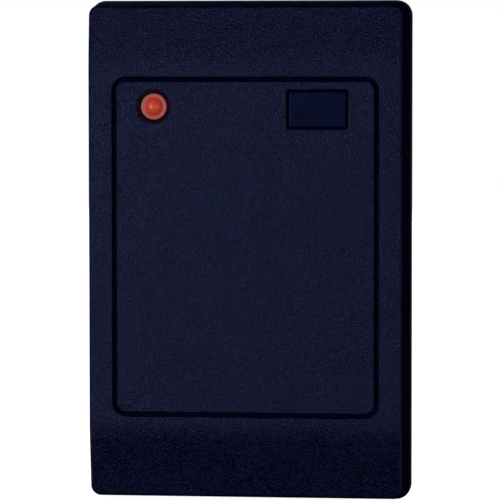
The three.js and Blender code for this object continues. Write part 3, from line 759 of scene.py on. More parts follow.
def build_light():
    top, lens = -span("light_guide")[0].y, LIGHT_LENS
    inner_front = DEPTH - FRONT_WALL
    rim_height, rim = top - 0.78, 0.36
    dome, dome_edge = 5.2, 2.3
    profile = []
    for step in range(9):
        r = dome_edge * step / 8
        profile.append((r, -(top - 0.02 - dome + math.sqrt(dome ** 2 - r ** 2))))
    profile += [(dome_edge + 0.12, profile[-1][1] - 0.04), (dome_edge + 0.28, -(rim_height + rim - 0.02))]
    profile += [(r, -h) for r, h in reversed(arc(lens - rim, rim_height, rim, 0, 84, 6))]
    profile += [(lens, -(inner_front - 0.05)), (lens + 1.2, -(inner_front - 0.05))]
    profile += [(lens + 1.2, -(inner_front - 0.7)), (lens - 0.6, -(inner_front - 0.7))]
    profile += [(lens - 0.6, -(inner_front - 1)), (0, -(inner_front - 1))]
    form = lathe(profile, (LIGHT_X, 0, LIGHT_Z), "y", 72)
    piece("light_guide_visual", *form, "lens", "light_guide", sharp=50)

    low, high, middle = span("status_led")
    base, front = high.y, low.y
    body = temporary("status_led_visual", *box_form(low, high, 0.12, 2))
    cup = raised(front, [(0, 0.7), (1.3, 0.7), (1.9, 0), (1.9, -0.5), (0, -0.5)])
    cutting(body, lathe(cup, middle, "y", 40))
    painted(body, "led_body", "status_led", 35)
    resin = raised(front, [(0, 0.12), (1.0, 0.1), (1.78, 0.03), (1.3, 0.66), (0, 0.66)])
    forms = [(lathe(resin, middle, "y", 40), 0)]
    for side in (-1, 1):
        for z in (-1.25, 1.25):
            # On the left only the pads' outer ends are made, as the body hides the rest.
            x = (-2.9, -2.6) if side < 0 else (1.6, 3.0)
            pad_low = (middle.x + x[0], base - 0.25, middle.z + z - 0.45)
            pad_high = (middle.x + x[1], base, middle.z + z + 0.45)
            forms.append((box_form(pad_low, pad_high, 0.06), 1))
    mixed_piece("status_led_resin", forms, ["resin", "solder"], body="reader", slot="led_white")


# ---------------------------------------------------------------- the back plate and what is on it

PLATE_FLOOR, PLATE_EDGE = 2.0, 2.8
LIP_INSET, LIP_THICKNESS, LIP_DEPTH, LIP_TOP, LIP_GAP = 2.9, 1.2, 4.8, 49.5, 16.0
INLET_Z, INLET_HOLE, INLET_RECESS, INLET_RECESS_DEPTH = -14.0, 6.0, 7.7, 1.0
SLOT_WIDTH, SLOT_LENGTH, SLOT_SIDEWAYS, SLOT_UPRIGHT = 4.6, 9.0, 41.5, 30.0
TAB_LOW, TAB_HALF = -53.9, 5.5


def slot_tool(width, height, z):
    """A slot through the plate, chamfered where the screw's head sits."""
    radius = min(width, height) / 2 - 0.01
    layers = [(-0.25, -0.5), (-0.25, 0.0), (0, 0.25), (0, PLATE_FLOOR - 0.35)]
    layers += [(-0.35, PLATE_FLOOR), (-0.35, 4)]
    return insets(width, height, radius, 0, z, 10, layers)


def build_plate():
    edge = 0.35
    outline = [(0.15, 0.0), (0.0, 0.15), (0.0, PLATE_EDGE - edge)]
    outline += [(edge - u, PLATE_EDGE - edge + v) for u, v in arc(0, 0, edge, 18, 90, 4)]
    form = insets(WIDTH, HEIGHT, CORNER_RADIUS, 0, 0, 10, outline)
    plate = temporary("back_plate_visual", *form)

    layers = [(LIP_INSET, PLATE_EDGE - 0.5), (LIP_INSET, LIP_DEPTH - 0.3), (LIP_INSET + 0.2, LIP_DEPTH)]
    lip = temporary("lip", *insets(WIDTH, HEIGHT, 1.6, 0, 0, 6, layers, follow=False))
    above = box_form((-50, -20, LIP_TOP), (50, 5, 70))
    cutting(lip, above, box_form((-LIP_GAP / 2, -20, -70), (LIP_GAP / 2, 5, -40)))
    joining(plate, lip)
    floor_inset = LIP_INSET + LIP_THICKNESS
    recess = round_rect(WIDTH - 2 * floor_inset, HEIGHT - 2 * floor_inset, 1.0, 0, 0, 6)
    cutting(plate, prism(recess, PLATE_FLOOR, 12))

    low = PLATE_FLOOR - 0.5
    arm_top = PIVOT_Z - HANGER_RADIUS - 0.2
    tongue = PIVOT_DEPTH + 1.1
    hook = [(-low, arm_top - 1.6), (-low, arm_top), (-tongue, arm_top), (-tongue, PIVOT_Z + 0.25)]
    hook += [(-tongue - 0.15, PIVOT_Z + 0.4), (-tongue - 1.05, PIVOT_Z + 0.4)]
    hook += [(-tongue - 1.2, PIVOT_Z + 0.25), (-tongue - 1.2, arm_top - 1.3), (-tongue - 0.9, arm_top - 1.6)]
    web = [(-low, arm_top - 6.2), (-low, arm_top - 1.2), (-tongue - 0.6, arm_top - 1.2)]
    gusset = [(-low, TAB_LOW + 4.5), (-low, TAB_LOW + 11), (-8.2, TAB_LOW + 4.5)]
    additions = []
    for side in (-1, 1):
        additions.append(box_form((side * 24 - 0.6, -3.4, -40), (side * 24 + 0.6, -low, 40)))
        left, right = side * 20 - 4.5, side * 20 + 4.5
        additions.append(extruded(hook, left, right))
        additions += [extruded(web, x, x + 1.0) for x in (left + 1.2, right - 2.2)]
    additions.append(box_form((-TAB_HALF, -9.6, TAB_LOW), (TAB_HALF, -low, TAB_LOW + 5), 0.25, 2))
    additions += [extruded(gusset, x - 0.5, x + 0.5) for x in (-4.2, 4.2)]
    joining(plate, *additions)

    cuts = [slot_tool(SLOT_LENGTH, SLOT_WIDTH, side * SLOT_SIDEWAYS) for side in (-1, 1)]
    cuts += [slot_tool(SLOT_WIDTH, SLOT_LENGTH, side * SLOT_UPRIGHT) for side in (-1, 1)]
    inlet = [(0, 1), (INLET_RECESS, 1), (INLET_RECESS, -INLET_RECESS_DEPTH)]
    inlet += [(INLET_HOLE, -INLET_RECESS_DEPTH), (INLET_HOLE, -6), (0, -6)]
    cuts.append(lathe(inlet, (0, 0, INLET_Z), "y", 64))
    hole = [(0, 1), (2.65, 1), (2.65, 0.0), (2.4, -0.25), (2.4, -6), (0, -6)]
    cuts.append(lathe(hole, centre("tamper_plunger"), "y", 40))
    insert = [(0, -60), (2.15, -60), (2.15, -40), (0, -40)]
    cuts.append(lathe(insert, (0, -LOCK_DEPTH, 0), "z", 40))
    cutting(plate, *cuts)
    painted(plate, "plate", "back_plate", 38)


def build_grommet():
    low, high, _ = span("cable_grommet")
    nose, wall = low.y, high.y
    waist, flange = 5.95, 7.5
    profile = [(3.3, 0.25), (3.45, 0.06), (3.7, 0), (4.5, 0), (4.8, 0.12), (6.8, 0.95), (7.2, 1.15)]
    profile = raised(nose, profile)
    profile += [(flange, -2.4), (flange, -2.15), (7.4, -2.05), (waist, -2.05), (waist, -0.95), (7.4, -0.95)]
    profile += [(flange, -0.85)]
    profile += raised(wall, [(flange, -0.12), (7.35, 0), (4.0, 0), (3.5, -0.15), (3.3, -0.45)])
    profile += [(3.3, -1.2), (3.22, -1.35), (3.3, -1.5), (3.3, -2.0), (3.22, -2.15), (3.3, -2.3)]
    form = lathe(profile, (0, 0, INLET_Z), "y", 64)
    piece("cable_grommet_visual", *form, "rubber", "cable_grommet", sharp=60)


# ---------------------------------------------------------------- the lock


def build_lock():
    axis = (0, -LOCK_DEPTH, 0)
    low, high, _ = span("lock_screw")
    # The head's face sits back a little, so that it stays out of sight behind the front's edge.
    head_bottom, head_top = low.z + 0.35, low.z + 1.35
    thread = screw_thread(axis, head_top - 0.1, high.z, 1.45, 1.16, 0.5, "z", 28, 0.7)
    rod = temporary("lock_screw_visual", *thread)
    head = raised(head_bottom, [(0, 0), (1.9, 0), (2.35, 0.12), (2.65, 0.4), (2.8, 0.8)])
    head += raised(head_top, [(2.8, -0.1), (2.7, 0), (0, 0)])
    joining(rod, lathe(head, axis, "z", 48))
    ring = [(1.05 + 0.17 * math.cos(6 * TAU * j / 48), TAU * j / 48) for j in range(48)]
    star = [(r * math.cos(a), -LOCK_DEPTH + r * math.sin(a)) for r, a in ring]
    pin = raised(head_bottom, [(0, 0), (0.3, 0), (0.36, 0.08), (0.36, 0.9), (0, 0.9)])
    cutting(rod, upright(star, head_bottom - 1, head_bottom + 0.8))
    joining(rod, lathe(pin, axis, "z", 20))
    painted(rod, "steel", "lock_screw", 45)

    low, high, _ = span("lock_washer")
    profile = raised(low.z, [(1.7, 0), (2.78, 0), (2.9, 0.12)])
    profile += raised(high.z, [(2.9, -0.12), (2.78, 0), (1.77, 0), (1.65, -0.12)])
    profile.append((1.65, low.z + 0.05))
    piece("lock_washer_visual", *lathe(profile, axis, "z", 48), "nylon", "lock_washer", sharp=50)

    low, high, _ = span("lock_insert")
    rows, sides = 24, 72
    outer = []
    for k in range(rows + 1):
        height = low.z + (high.z - low.z) * k / rows
        band = 0.25 < k / rows < 0.42 or 0.6 < k / rows < 0.78
        for j in range(sides):
            turn = TAU * j / sides
            knurl = 0.05 * (math.cos(18 * turn + k * 0.9) + math.cos(18 * turn - k * 0.9))
            outer.append(turned(axis, "z", 1.9 if band else 2.0 + knurl, height, turn))
    body = temporary("lock_insert_visual", outer, rings_to_faces(rows + 1, sides))
    bore = screw_thread(axis, low.z - 0.5, high.z + 0.5, 1.72, 1.5, 0.5, "z", 28)
    cutting(body, bore)
    painted(body, "brass", "lock_insert", 50)


# ---------------------------------------------------------------- the board

BOARD_BACK, BOARD_FRONT = 8.4, 10.0
TAIL_DROP = 3.4  # how far below a header pin its tail goes through the board
TRACK_GAP, TRACK_THICKNESS = 0.012, 0.022
LEAD_PITCH = 1.27


def filled(outer, holes, depth):
    """A flat sheet with holes, as triangles at one depth."""
    loops = [outer] + holes
    points, edges = [], []
    for loop in loops:
        start = len(points)
        points += [Vector(p) for p in loop]
        edges += [(start + i, start + (i + 1) % len(loop)) for i in range(len(loop))]
    verts, _, faces, _, _, _ = delaunay_2d_cdt(points, edges, [list(range(len(outer)))], 1, 1e-5, False)

    def inside(point, loop):
        crossed = False
        for (x0, z0), (x1, z1) in zip(loop, loop[1:] + loop[:1]):
            if (z0 > point.y) != (z1 > point.y) and point.x < (x1 - x0) * (point.y - z0) / (z1 - z0) + x0:
                crossed = not crossed
        return crossed

    kept = []
    for face in faces:
        middle = sum((verts[i] for i in face), Vector((0, 0))) / len(face)
        if not any(inside(middle, hole) for hole in holes):
            kept.append(tuple(face))
    return [(v.x, -depth, v.y) for v in verts], kept


def wall_between(loop, from_depth, to_depth):
    verts = [(x, -depth, z) for depth in (from_depth, to_depth) for x, z in loop]
    return verts, rings_to_faces(2, len(loop), closed_ends=False)


def circle(x, z, radius, steps=24):
    turns = [TAU * i / steps for i in range(steps)]
    return [(x + radius * math.cos(turn), z + radius * math.sin(turn)) for turn in turns]


def build_board():
    low, high, middle = span("main_board")
    outer = round_rect(high.x - low.x, high.z - low.z, 2.0, middle.x, middle.z, 8)
    screw_holes = [circle(screw.x, screw.z, 1.4) for screw in SCREWS]
    pin_holes = [circle(pin.x, pin.z - TAIL_DROP, 0.42, 14) for pin in PINS]
    holes = screw_holes + pin_holes
    forms = [(filled(outer, holes, BOARD_BACK), 0), (filled(outer, holes, BOARD_FRONT), 0)]
    forms += [(wall_between(loop, BOARD_BACK, BOARD_FRONT), 1) for loop in [outer] + screw_holes]
    forms += [(wall_between(loop, BOARD_BACK, BOARD_FRONT), 2) for loop in pin_holes]
    mixed_piece("main_board_visual", forms, ["board", "board_edge", "solder"], "main_board", sharp=30)


def annulus(x, z, inner, outer, thickness, steps):
    """A flat tinned ring standing on the board's back."""
    top = BOARD_BACK - thickness
    profile = [(inner, -BOARD_BACK), (inner, -top), (outer, -top), (outer, -BOARD_BACK)]
    return lathe(profile, (x, 0, z), "y", steps)


def route(points, width):
    """A copper track on the board's back through (x, z) points."""
    half = width / 2
    path = [(x, -(BOARD_BACK - TRACK_GAP), z) for x, z in points]
    forms = []
    for a, b in zip(path, path[1:]):
        a, b = Vector(a), Vector(b)
        along = (b - a).normalized()
        side = along.cross(Vector((0, 1, 0))) * half
        up = Vector((0, TRACK_THICKNESS, 0))
        a, b = a - along * half * 0.6, b + along * half * 0.6
        verts = [a - side, a + side, b + side, b - side]
        verts += [v + up for v in verts]
        sides = [(0, 1, 5, 4), (1, 2, 6, 5), (2, 3, 7, 6), (3, 0, 4, 7)]
        forms.append((verts, [(0, 3, 2, 1), (4, 5, 6, 7)] + sides))
    return merged(*forms)


def build_tracks():
    """Tracks, via rings and screw lands on the board's back."""
    forms = []
    chip = centre("microcontroller")
    front_end = centre("reader_chip")
    for i, pin in enumerate(PINS):
        x, z = pin.x, pin.z - TAIL_DROP
        target = chip.x - 5.7 + LEAD_PITCH * i
        points = [(x, z), (x, z + 9.5), (x + (target - x) * 0.5, z + 11.5 + 0.4 * i)]
        points.append((target, z + 15 + 0.3 * i))
        points += [(target, chip.z - 5.2)] if i < 3 else [(target, front_end.z - 5 - 0.5 * (i - 3))]
        forms.append(route(points, 0.4 if 0 < i < 7 else 0.9))
    for i in range(7):
        x0 = front_end.x - 3.81 + LEAD_PITCH * i
        x1 = chip.x - 5.1 + LEAD_PITCH * i
        points = [(x0, front_end.z + 3), (x0, front_end.z + 4.3), (x1, front_end.z + 6.2), (x1, chip.z - 5)]
        forms.append(route(points, 0.3))
    for i in range(10):
        x0 = chip.x - 5.715 + LEAD_PITCH * i
        rise = 2.0 + 0.55 * abs(i - 4.5)
        end = (x0 - (4.5 - i) * 0.5, chip.z + 5.2 + rise + 1.2)
        forms.append(route([(x0, chip.z + 5.0), (x0, chip.z + 5.2 + rise), end], 0.3))
    plain_routes = [
        ([(-21.5, -20.5), (-21.5, -14), (-27.5, -8), (-27.5, 26), (-22, 31.5), (-6, 31.5)], 1.4),
        ([(-13.5, -27), (-13.5, -19), (-16.5, -16), (-16.5, 10), (-15, 12.5)], 1.0),
        ([(26, -20), (26, 26), (21, 31), (14, 31)], 1.1),
        ([(-21, 2), (-21, 4)], 1.0),
        ([(-8, 3.2), (-4.5, 6), (-4.5, 11), (1.0, 15.2)], 0.35),
        ([(20, 15.2), (20, 12.8)], 0.5),
        ([(20, 19.2), (20, 16.8)], 0.5),
        ([(19, 1.0), (19, -2.0)], 0.5),
    ]
    forms += [route(points, width) for points, width in plain_routes]
    piece("board_tracks", *merged(*forms), "trace", body="reader", slot="laminate", sharp=30, weighted=False)

    vias = [(-27.5, 12), (-16.5, -3), (26, 4), (26, 14), (-6, 31.5), (14, 31), (-4.5, 8.5)]
    vias += [(-12, 36), (-24, 38)]
    vias += [(2.5 * i - 3, 36 + (i % 2) * 1.4) for i in range(6)]
    vias += [(-2.2 + 1.9 * i, 22.6 + 0.7 * (i % 3)) for i in range(8)]
    rings = [annulus(x, z, 0.18, 0.42, 0.04, 16) for x, z in vias]
    rings += [annulus(screw.x, screw.z, 1.45, 2.9, 0.035, 32) for screw in SCREWS]
    piece("board_lands", *merged(*rings), "solder", body="reader", slot="can_metal", sharp=30, weighted=False)


# ---------------------------------------------------------------- surface-mounted pieces


def wing_lead(x, z, side, width, rise, reach):
    """A gull-wing lead from a chip's flank down to the board. side is the way it points along z."""
    top = -(BOARD_BACK - rise)
    foot = -(BOARD_BACK - 0.16)
    points = [(x, top, z), (x, top, z + side * 0.28), (x, top - 0.12, z + side * 0.45)]
    points += [(x, foot + 0.18, z + side * (reach - 0.75)), (x, foot, z + side * (reach - 0.58))]
    points += [(x, foot, z + side * reach)]
    return ribbon(points, width / 2, 0.1, (1, 0, 0))


def small_outline(node, leads, pitch, reach):
    """A moulded chip with a chamfered body, a pin-one dimple and leads on two sides."""
    low, high, middle = span(node)
    belly = (low.y + high.y) / 2
    layers = [(0.28, -low.y - 0.12), (0.0, -belly + 0.1), (0.0, -belly - 0.1)]
    layers += [(0.22, -high.y + 0.05), (0.3, -high.y)]
    size = high.x - low.x, high.z - low.z
    form = insets(*size, 0.12, middle.x, middle.z, 2, layers, follow=False)
    body = temporary(f"{node}_visual", *form)
    dimple = raised(high.y, [(0, -0.12), (0.35, -0.08), (0.42, 0), (0.42, 0.5), (0, 0.5)])
    cutting(body, lathe(dimple, (low.x + 1.1, 0, low.z + 1.1), "y", 20))
    painted(body, "epoxy", node, 25)
    forms = []
    for side, edge in ((-1, low.z), (1, high.z)):
        for i in range(leads):
            x = middle.x + (i - (leads - 1) / 2) * pitch
            forms.append(wing_lead(x, edge - side * 0.1, side, 0.42, (high.y - low.y) * 0.52, reach))
    form = merged(*forms)
    piece(f"{node}_leads", *form, "solder", body="reader", slot="can_metal", sharp=30, weighted=False)


def two_ended(node, middle_look, cap, top_look=None):
    """A chip resistor or capacitor: a middle between two tinned ends, with solder at each end."""
    low, high, _ = span(node)
    body_low = (low.x + cap * 0.5, low.y + 0.04, low.z + 0.03)
    body_high = (high.x - cap * 0.5, high.y - 0.03, high.z - 0.03)
    forms = [(box_form(body_low, body_high, 0.04, 1), 0)]
    if top_look:
        glass_low = (low.x + cap, high.y - 0.04, low.z + 0.1)
        glass_high = (high.x - cap, high.y, high.z - 0.1)
        forms.append((box_form(glass_low, glass_high, 0.02, 1), 2))
    for x0, x1 in ((low.x, low.x + cap), (high.x - cap, high.x)):
        forms.append((box_form((x0, low.y, low.z), (x1, high.y - 0.01, high.z), 0.07, 2), 1))
    for side, x in ((-1, low.x), (1, high.x)):
        height = min(0.42, (high.y - low.y) * 0.6)
        section = [(x - side * 0.1, -BOARD_BACK), (x + side * 0.42, -BOARD_BACK)]
        section += [(x + side * 0.16, -BOARD_BACK + height * 0.35)]
        section += [(x + side * 0.03, -BOARD_BACK + height), (x - side * 0.1, -BOARD_BACK + height)]
        forms.append((upright(section, low.z + 0.08, high.z - 0.08), 1))
    looks = [middle_look, "solder"] + ([top_look] if top_look else [])
    mixed_piece(f"{node}_visual", forms, looks, node, sharp=35)


def build_diode(node):
    low, high, middle = span(node)
    layers = [(0.12, -low.y - 0.08), (0.0, -middle.y + 0.05), (0.0, -middle.y - 0.05), (0.16, -high.y)]
    size = high.x - low.x, high.z - low.z
    forms = [(insets(*size, 0.1, middle.x, middle.z, 2, layers, follow=False), 0)]
    band_low = (low.x + 0.45, high.y - 0.01, low.z + 0.2)
    forms.append((box_form(band_low, (low.x + 0.85, high.y + 0.012, high.z - 0.2)), 2))
    for side, x in ((-1, low.x), (1, high.x)):
        steps = [(-0.1, middle.y), (0.22, middle.y), (0.3, middle.y - 0.12), (0.3, -BOARD_BACK + 0.25)]
        steps += [(0.2, -BOARD_BACK + 0.12), (-0.6, -BOARD_BACK + 0.1)]
        points = [(x + side * out, y, middle.z) for out, y in steps]
        forms.append((ribbon(points, 0.72, 0.08, (0, 0, 1)), 1))
    mixed_piece(f"{node}_visual", forms, ["epoxy", "solder", "alumina"], node, sharp=25)


def build_regulator():
    low, high, _ = span("voltage_regulator")
    middle_x = (low.x + high.x) / 2
    body_low_z, body_high_z = low.z + 2.0, high.z - 1.6
    body_height, body_middle = body_high_z - body_low_z, (body_low_z + body_high_z) / 2
    layers = [(0.15, -low.y - 0.15), (0.0, -low.y - 0.9), (0.0, -low.y - 1.1), (0.2, -high.y)]
    forms = [(insets(6.6, body_height, 0.15, middle_x, body_middle, 2, layers, follow=False), 0)]
    tab = round_rect(5.3, 3.2, 0.5, middle_x, high.z - 1.6, 4)
    forms.append((prism(tab, BOARD_BACK - 0.06, BOARD_BACK - 0.6), 1))
    top, foot = -(BOARD_BACK - 1.0), -(BOARD_BACK - 0.3)
    bent = [(top, -0.1), (top, 0.35), (foot + 0.15, 0.9), (foot, 1.1), (foot, body_low_z - low.z)]
    short = [(top, -0.1), (top, 0.35), (top, 0.7)]
    for x, steps in ((-2.3, bent), (0.0, short), (2.3, bent)):
        points = [(middle_x + x, y, body_low_z - down) for y, down in steps]
        forms.append((ribbon(points, 0.38, 0.2, (1, 0, 0)), 1))
    mixed_piece("voltage_regulator_visual", forms, ["epoxy", "solder"], "voltage_regulator", sharp=25)


def build_can(node):
    """A can capacitor on a moulded base, with a vent-side mark on its top."""
    low, high, middle = span(node)
    half = (high.x - low.x) / 2
    radius = half - 0.2
    base_top = low.y + 0.95
    chamfer = 1.1
    outline = [(-half, -half), (half - chamfer, -half), (half, -half + chamfer), (half, half - chamfer)]
    outline += [(half - chamfer, half), (-half, half)]
    outline = [(middle.x + x, middle.z + z) for x, z in outline]
    forms = [(prism(outline, -low.y, -base_top), 1)]
    top = high.y
    foot = [(0, -0.2), (radius - 0.15, -0.2), (radius, 0.15), (radius, 0.5), (radius - 0.18, 0.72)]
    profile = raised(base_top, foot + [(radius, 0.95)]) + [(radius, top - 0.4)]
    profile += [(radius - u, top - 0.4 + v) for u, v in [(0.04, 0.18), (0.14, 0.32), (0.3, 0.4)]]
    profile += [(radius - 0.55, top), (radius - 0.62, top - 0.06), (0, top - 0.06)]
    forms.append((lathe(profile, middle, "y", 48), 0))
    mark_radius = radius - 0.66
    turns = [math.radians(200 + 140 * i / 14) for i in range(15)]
    mark = [(middle.x + mark_radius * math.cos(a), middle.z + mark_radius * math.sin(a)) for a in turns]
    forms.append((prism(mark, -(top - 0.065), -(top - 0.045)), 2))
    mixed_piece(f"{node}_visual", forms, ["can", "epoxy", "ink"], node, sharp=30)


def build_crystal():
    low, high, middle = span("crystal")
    width, height = high.x - low.x, high.z - low.z
    radius = height / 2 - 0.01
    layers = [(0.0, -low.y), (0.0, -low.y - 0.35), (0.08, -low.y - 0.45), (0.45, -low.y - 0.5)]
    layers.append((0.45, -high.y + 0.5))
    for turn in (22, 45, 67, 90):
        a = math.radians(turn)
        layers.append((0.45 + 0.5 * (1 - math.cos(a)), -high.y + 0.5 - 0.5 * math.sin(a)))
    form = insets(width, height, radius, middle.x, middle.z, 10, layers)
    piece("crystal_visual", *form, "can", "crystal", sharp=35)


def build_buzzer():
    low, high, middle = span("buzzer")
    radius = 6.0
    profile = [(0, 0), (radius - 0.2, 0), (radius, 0.2), (radius, 1.0), (radius - 0.12, 1.1)]
    profile = raised(low.y, profile + [(radius - 0.12, 1.3), (radius, 1.4)])
    cap = [(radius, -0.45), (radius - 0.13, -0.14), (radius - 0.45, 0), (3.4, 0), (3.3, -0.12), (2.9, -0.12)]
    cap += [(2.8, 0), (1.35, 0), (1.2, -0.15), (1.2, -1.4), (0, -1.4)]
    profile += raised(high.y, cap)
    piece("buzzer_visual", *lathe(profile, middle, "y", 72), "epoxy", "buzzer", sharp=35)


def build_header():
    low, high, _ = span("cable_header")
    wall = 0.8
    shroud = temporary("cable_header_visual", *box_form(low, high, 0.12, 2))
    mouth_low = (low.x + wall, low.y + wall, low.z + 1.4)
    cuts = [box_form(mouth_low, (high.x - wall, high.y - wall, high.z + 1), 0.1, 1)]
    for left in (low.x + 5, high.x - 9):
        cuts.append(box_form((left, high.y - 1.2, low.z + 2.2), (left + 4, high.y + 1, high.z + 1)))
    for pin in PINS:
        hole_low, hole_high = (pin.x - 0.55, low.y + 0.5, low.z - 1), (pin.x + 0.55, low.y + 1.3, low.z + 0.7)
        cuts.append(box_form(hole_low, hole_high))
    cutting(shroud, *cuts)
    painted(shroud, "nylon", "cable_header", 30)
    for i, pin in enumerate(PINS):
        node = f"header_pin_{i + 1}"
        pin_low, pin_high, _ = span(node)
        verts = []
        for half, z in ((0.32, pin_low.z + 0.02), (0.32, pin_high.z - 0.5), (0.12, pin_high.z)):
            for sx, sy in ((-1, -1), (1, -1), (1, 1), (-1, 1)):
                verts.append((pin.x + sx * half, pin.y + sy * half, z))
        piece(f"{node}_visual", verts, rings_to_faces(3, 4), "brass", node, sharp=30)
    solder = [(0, -0.02), (0.95, -0.02), (0.93, 0.06), (0.6, 0.22), (0.4, 0.5), (0.33, 0.75), (0, 0.75)]
    tails = []
    for pin in PINS:
        foot_z = pin.z - TAIL_DROP
        path = [(pin.y, low.z + 0.6), (pin.y, low.z - 0.1), (pin.y - 0.12, foot_z + 0.35)]
        path += [(pin.y - 0.35, foot_z + 0.08), (pin.y - 0.7, foot_z), (-BOARD_FRONT - 0.9, foot_z)]
        path = [(pin.x, y, z) for y, z in path]
        tails.append((tube(path, 0.3, 8), 0))
        for y, way in ((-BOARD_BACK, 1), (-BOARD_FRONT, -1)):
            fillet = [(r, y + way * rise) for r, rise in solder]
            tails.append((lathe(fillet, (pin.x, 0, foot_z), "y", 18), 1))
    mixed_piece("header_tails", tails, ["brass", "solder"], body="reader", slot="brass")


# ---------------------------------------------------------------- coil, screws and tamper switch


def build_coil():
    low, high, middle = span("coil_bobbin")
    width, height, band, radius = 50.0, 58.0, 4.5, 6.0
    flange, hub = 0.5, band - 1.0
    section = [(0.0, low.y + 0.1), (0.0, low.y + flange - 0.06), (0.06, low.y + flange)]
    section += [(hub, low.y + flange), (hub, high.y - flange)]
    section += [(0.06, high.y - flange), (0.0, high.y - flange + 0.06)]
    section += [(0.0, high.y - 0.1), (0.1, high.y), (band - 0.1, high.y), (band, high.y - 0.1)]
    section += [(band, low.y + 0.1), (band - 0.1, low.y), (0.1, low.y)]

    def swept(points):
        verts = []
        for inset, y in points:
            size = width - 2 * inset, height - 2 * inset
            verts += [(x, y, z) for x, z in round_rect(*size, radius - inset, middle.x, middle.z)]
        count = len(verts) // len(points)
        return verts, rings_to_faces(len(points), count, closed_ends=False, loop=True)

    piece("coil_bobbin_visual", *swept(section), "nylon", "coil_bobbin", sharp=40)

    low, high, _ = span("antenna_coil")
    wire = 0.16
    turns = int((high.y - low.y) / wire)
    pitch = (high.y - low.y) / turns
    outer, inner = 0.5, hub - 0.1
    winding = []
    for k in range(turns):
        y = low.y + pitch * k
        winding += [(outer + 0.07, y), (outer + 0.02, y + pitch * 0.25), (outer, y + pitch * 0.5)]
        winding += [(outer + 0.02, y + pitch * 0.75)]
    winding += [(outer + 0.07, high.y), (inner, high.y), (inner, low.y)]
    piece("antenna_coil_visual", *swept(winding), "copper", "antenna_coil", sharp=60, weighted=False)

    leads = []
    board = -BOARD_FRONT
    for x in (-3.0, -1.2):
        path = [(x, middle.y, low.z + 0.4), (x, middle.y - 0.1, low.z - 0.5)]
        path += [(x + 0.05, board - 0.5, low.z - 1.6), (x + 0.1, board - 0.35, low.z - 2.4)]
        leads.append((tube(path, 0.09, 8), 0))
        blob = raised(board, [(0, 0), (0.8, 0), (0.74, -0.18), (0.5, -0.38), (0.2, -0.48), (0, -0.5)])
        leads.append((lathe(blob, (x + 0.1, 0, low.z - 2.4), "y", 20), 1))
    mixed_piece("coil_leads", leads, ["copper", "solder"], body="reader", slot="copper_wire")


def build_board_screws():
    seat = -(BOARD_BACK - 0.05)
    for i, place in enumerate(SCREWS):
        node = f"board_screw_{i + 1}"
        low, high, _ = span(node)
        # The thread's tip is the low end, towards the front.
        thread = screw_thread(place, low.y, seat + 0.1, 0.95, 0.72, 0.6, "y", 18, 0.9, "low")
        rod = temporary(f"{node}_visual", *thread)
        head = raised(seat, [(0, 0), (2.1, 0), (2.2, 0.1), (2.2, 0.55), (2.1, 0.85), (1.75, 1.17)])
        head += [(1.2, high.y - 0.04), (0, high.y)]
        joining(rod, lathe(head, place, "y", 36))
        cross = []
        for along, across in ((1.2, 0.26), (0.26, 1.2)):
            layers = [(0.25, high.y - 0.95), (0.0, high.y - 0.3), (0.0, high.y + 0.4)]
            cross.append(stacked([
                (round_rect(2 * along - 2 * t, 2 * across - 2 * t * 0.4, 0.05, place.x, place.z, 2), -y)
                for t, y in layers
            ]))
        cutting(rod, *cross)
        painted(rod, "steel", node, 40)


def build_tamper():
    low, high, middle = span("tamper_switch")
    body = temporary("tamper_switch_visual", *box_form(low, high, 0.15, 2))
    bore = raised(high.y, [(0, -1.85), (1.2, -1.85), (1.2, -0.15), (1.35, 0), (1.35, 1), (0, 1)])
    cuts = [lathe(bore, middle, "y", 40)]
    for side in (-1, 1):
        edge = middle.x + side * 3.1
        groove_low = (edge - 0.18, low.y - 1, middle.z - 1.2)
        groove_high = (edge + 0.18, high.y - 0.5, middle.z + 1.2)
        cuts.append(box_form(groove_low, groove_high))
    cutting(body, *cuts)
    painted(body, "epoxy", "tamper_switch", 35)
    legs = []
    for side in (-1, 1):
        for z in (-2.25, 2.25):
            x = middle.x + side * 3.05
            steps = [(0, 0.9), (0.3, 0.75), (0.62, 0.2), (1.15, 0.12)]
            path = [(x + side * out, low.y + up, middle.z + z) for out, up in steps]
            legs.append(ribbon(path, 0.35, 0.1, (0, 0, 1)))
    piece("tamper_switch_legs", *merged(*legs), "solder", body="reader", slot="can_metal", weighted=False)

    low, high, place = span("tamper_plunger")
    profile = [(0, low.y), (0.8, low.y), (0.9, low.y + 0.1), (0.9, -4.0), (2.0, -4.0), (2.1, -3.9)]
    profile += [(2.1, -3.6), (2.0, -3.5), (1.5, -3.5)]
    profile += raised(high.y, [(1.5, -0.55), (1.42, -0.3), (1.2, -0.1), (0.8, 0), (0, 0)])
    form = lathe(profile, place, "y", 40)
    piece("tamper_plunger_visual", *form, "nylon", "tamper_plunger", sharp=50)

    start, end = -6.05, -4.16
    turns, radius, count = 4.0, 1.6, 160
    points = []
    for i in range(count + 1):
        t = i / count
        eased = t * 0.8 + 0.1 * (math.sin(TAU * (t - 0.5)) / TAU + t * 2)
        angle = TAU * turns * t
        y = start + (end - start) * min(1, max(0, eased))
        points.append((place.x + radius * math.cos(angle), y, place.z + radius * math.sin(angle)))
    spring = temporary("tamper_spring_visual", *tube(points, 0.15, 10))
    spring.data.materials.append(MATERIALS["steel"].material)
    smoothed(spring.data, 50)
    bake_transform(spring)
    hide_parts("tamper_spring")


# ---------------------------------------------------------------- stage, light and camera

# Distances in this section are in metres and angles in degrees.
CAMERA_AZIMUTH, CAMERA_ELEVATION, CAMERA_ROLL = 6.42, 3.24, -0.04
CAMERA_DISTANCE, CAMERA_LENS = 0.747, 232.1
CAMERA_SHIFT_X, CAMERA_SHIFT_Y = 0.003, -0.0024
CAMERA_TARGET = Vector((0, -0.0075, 0.0005))
FLOOR_GAP, FLOOR_HALF = 0.0001, 40.0


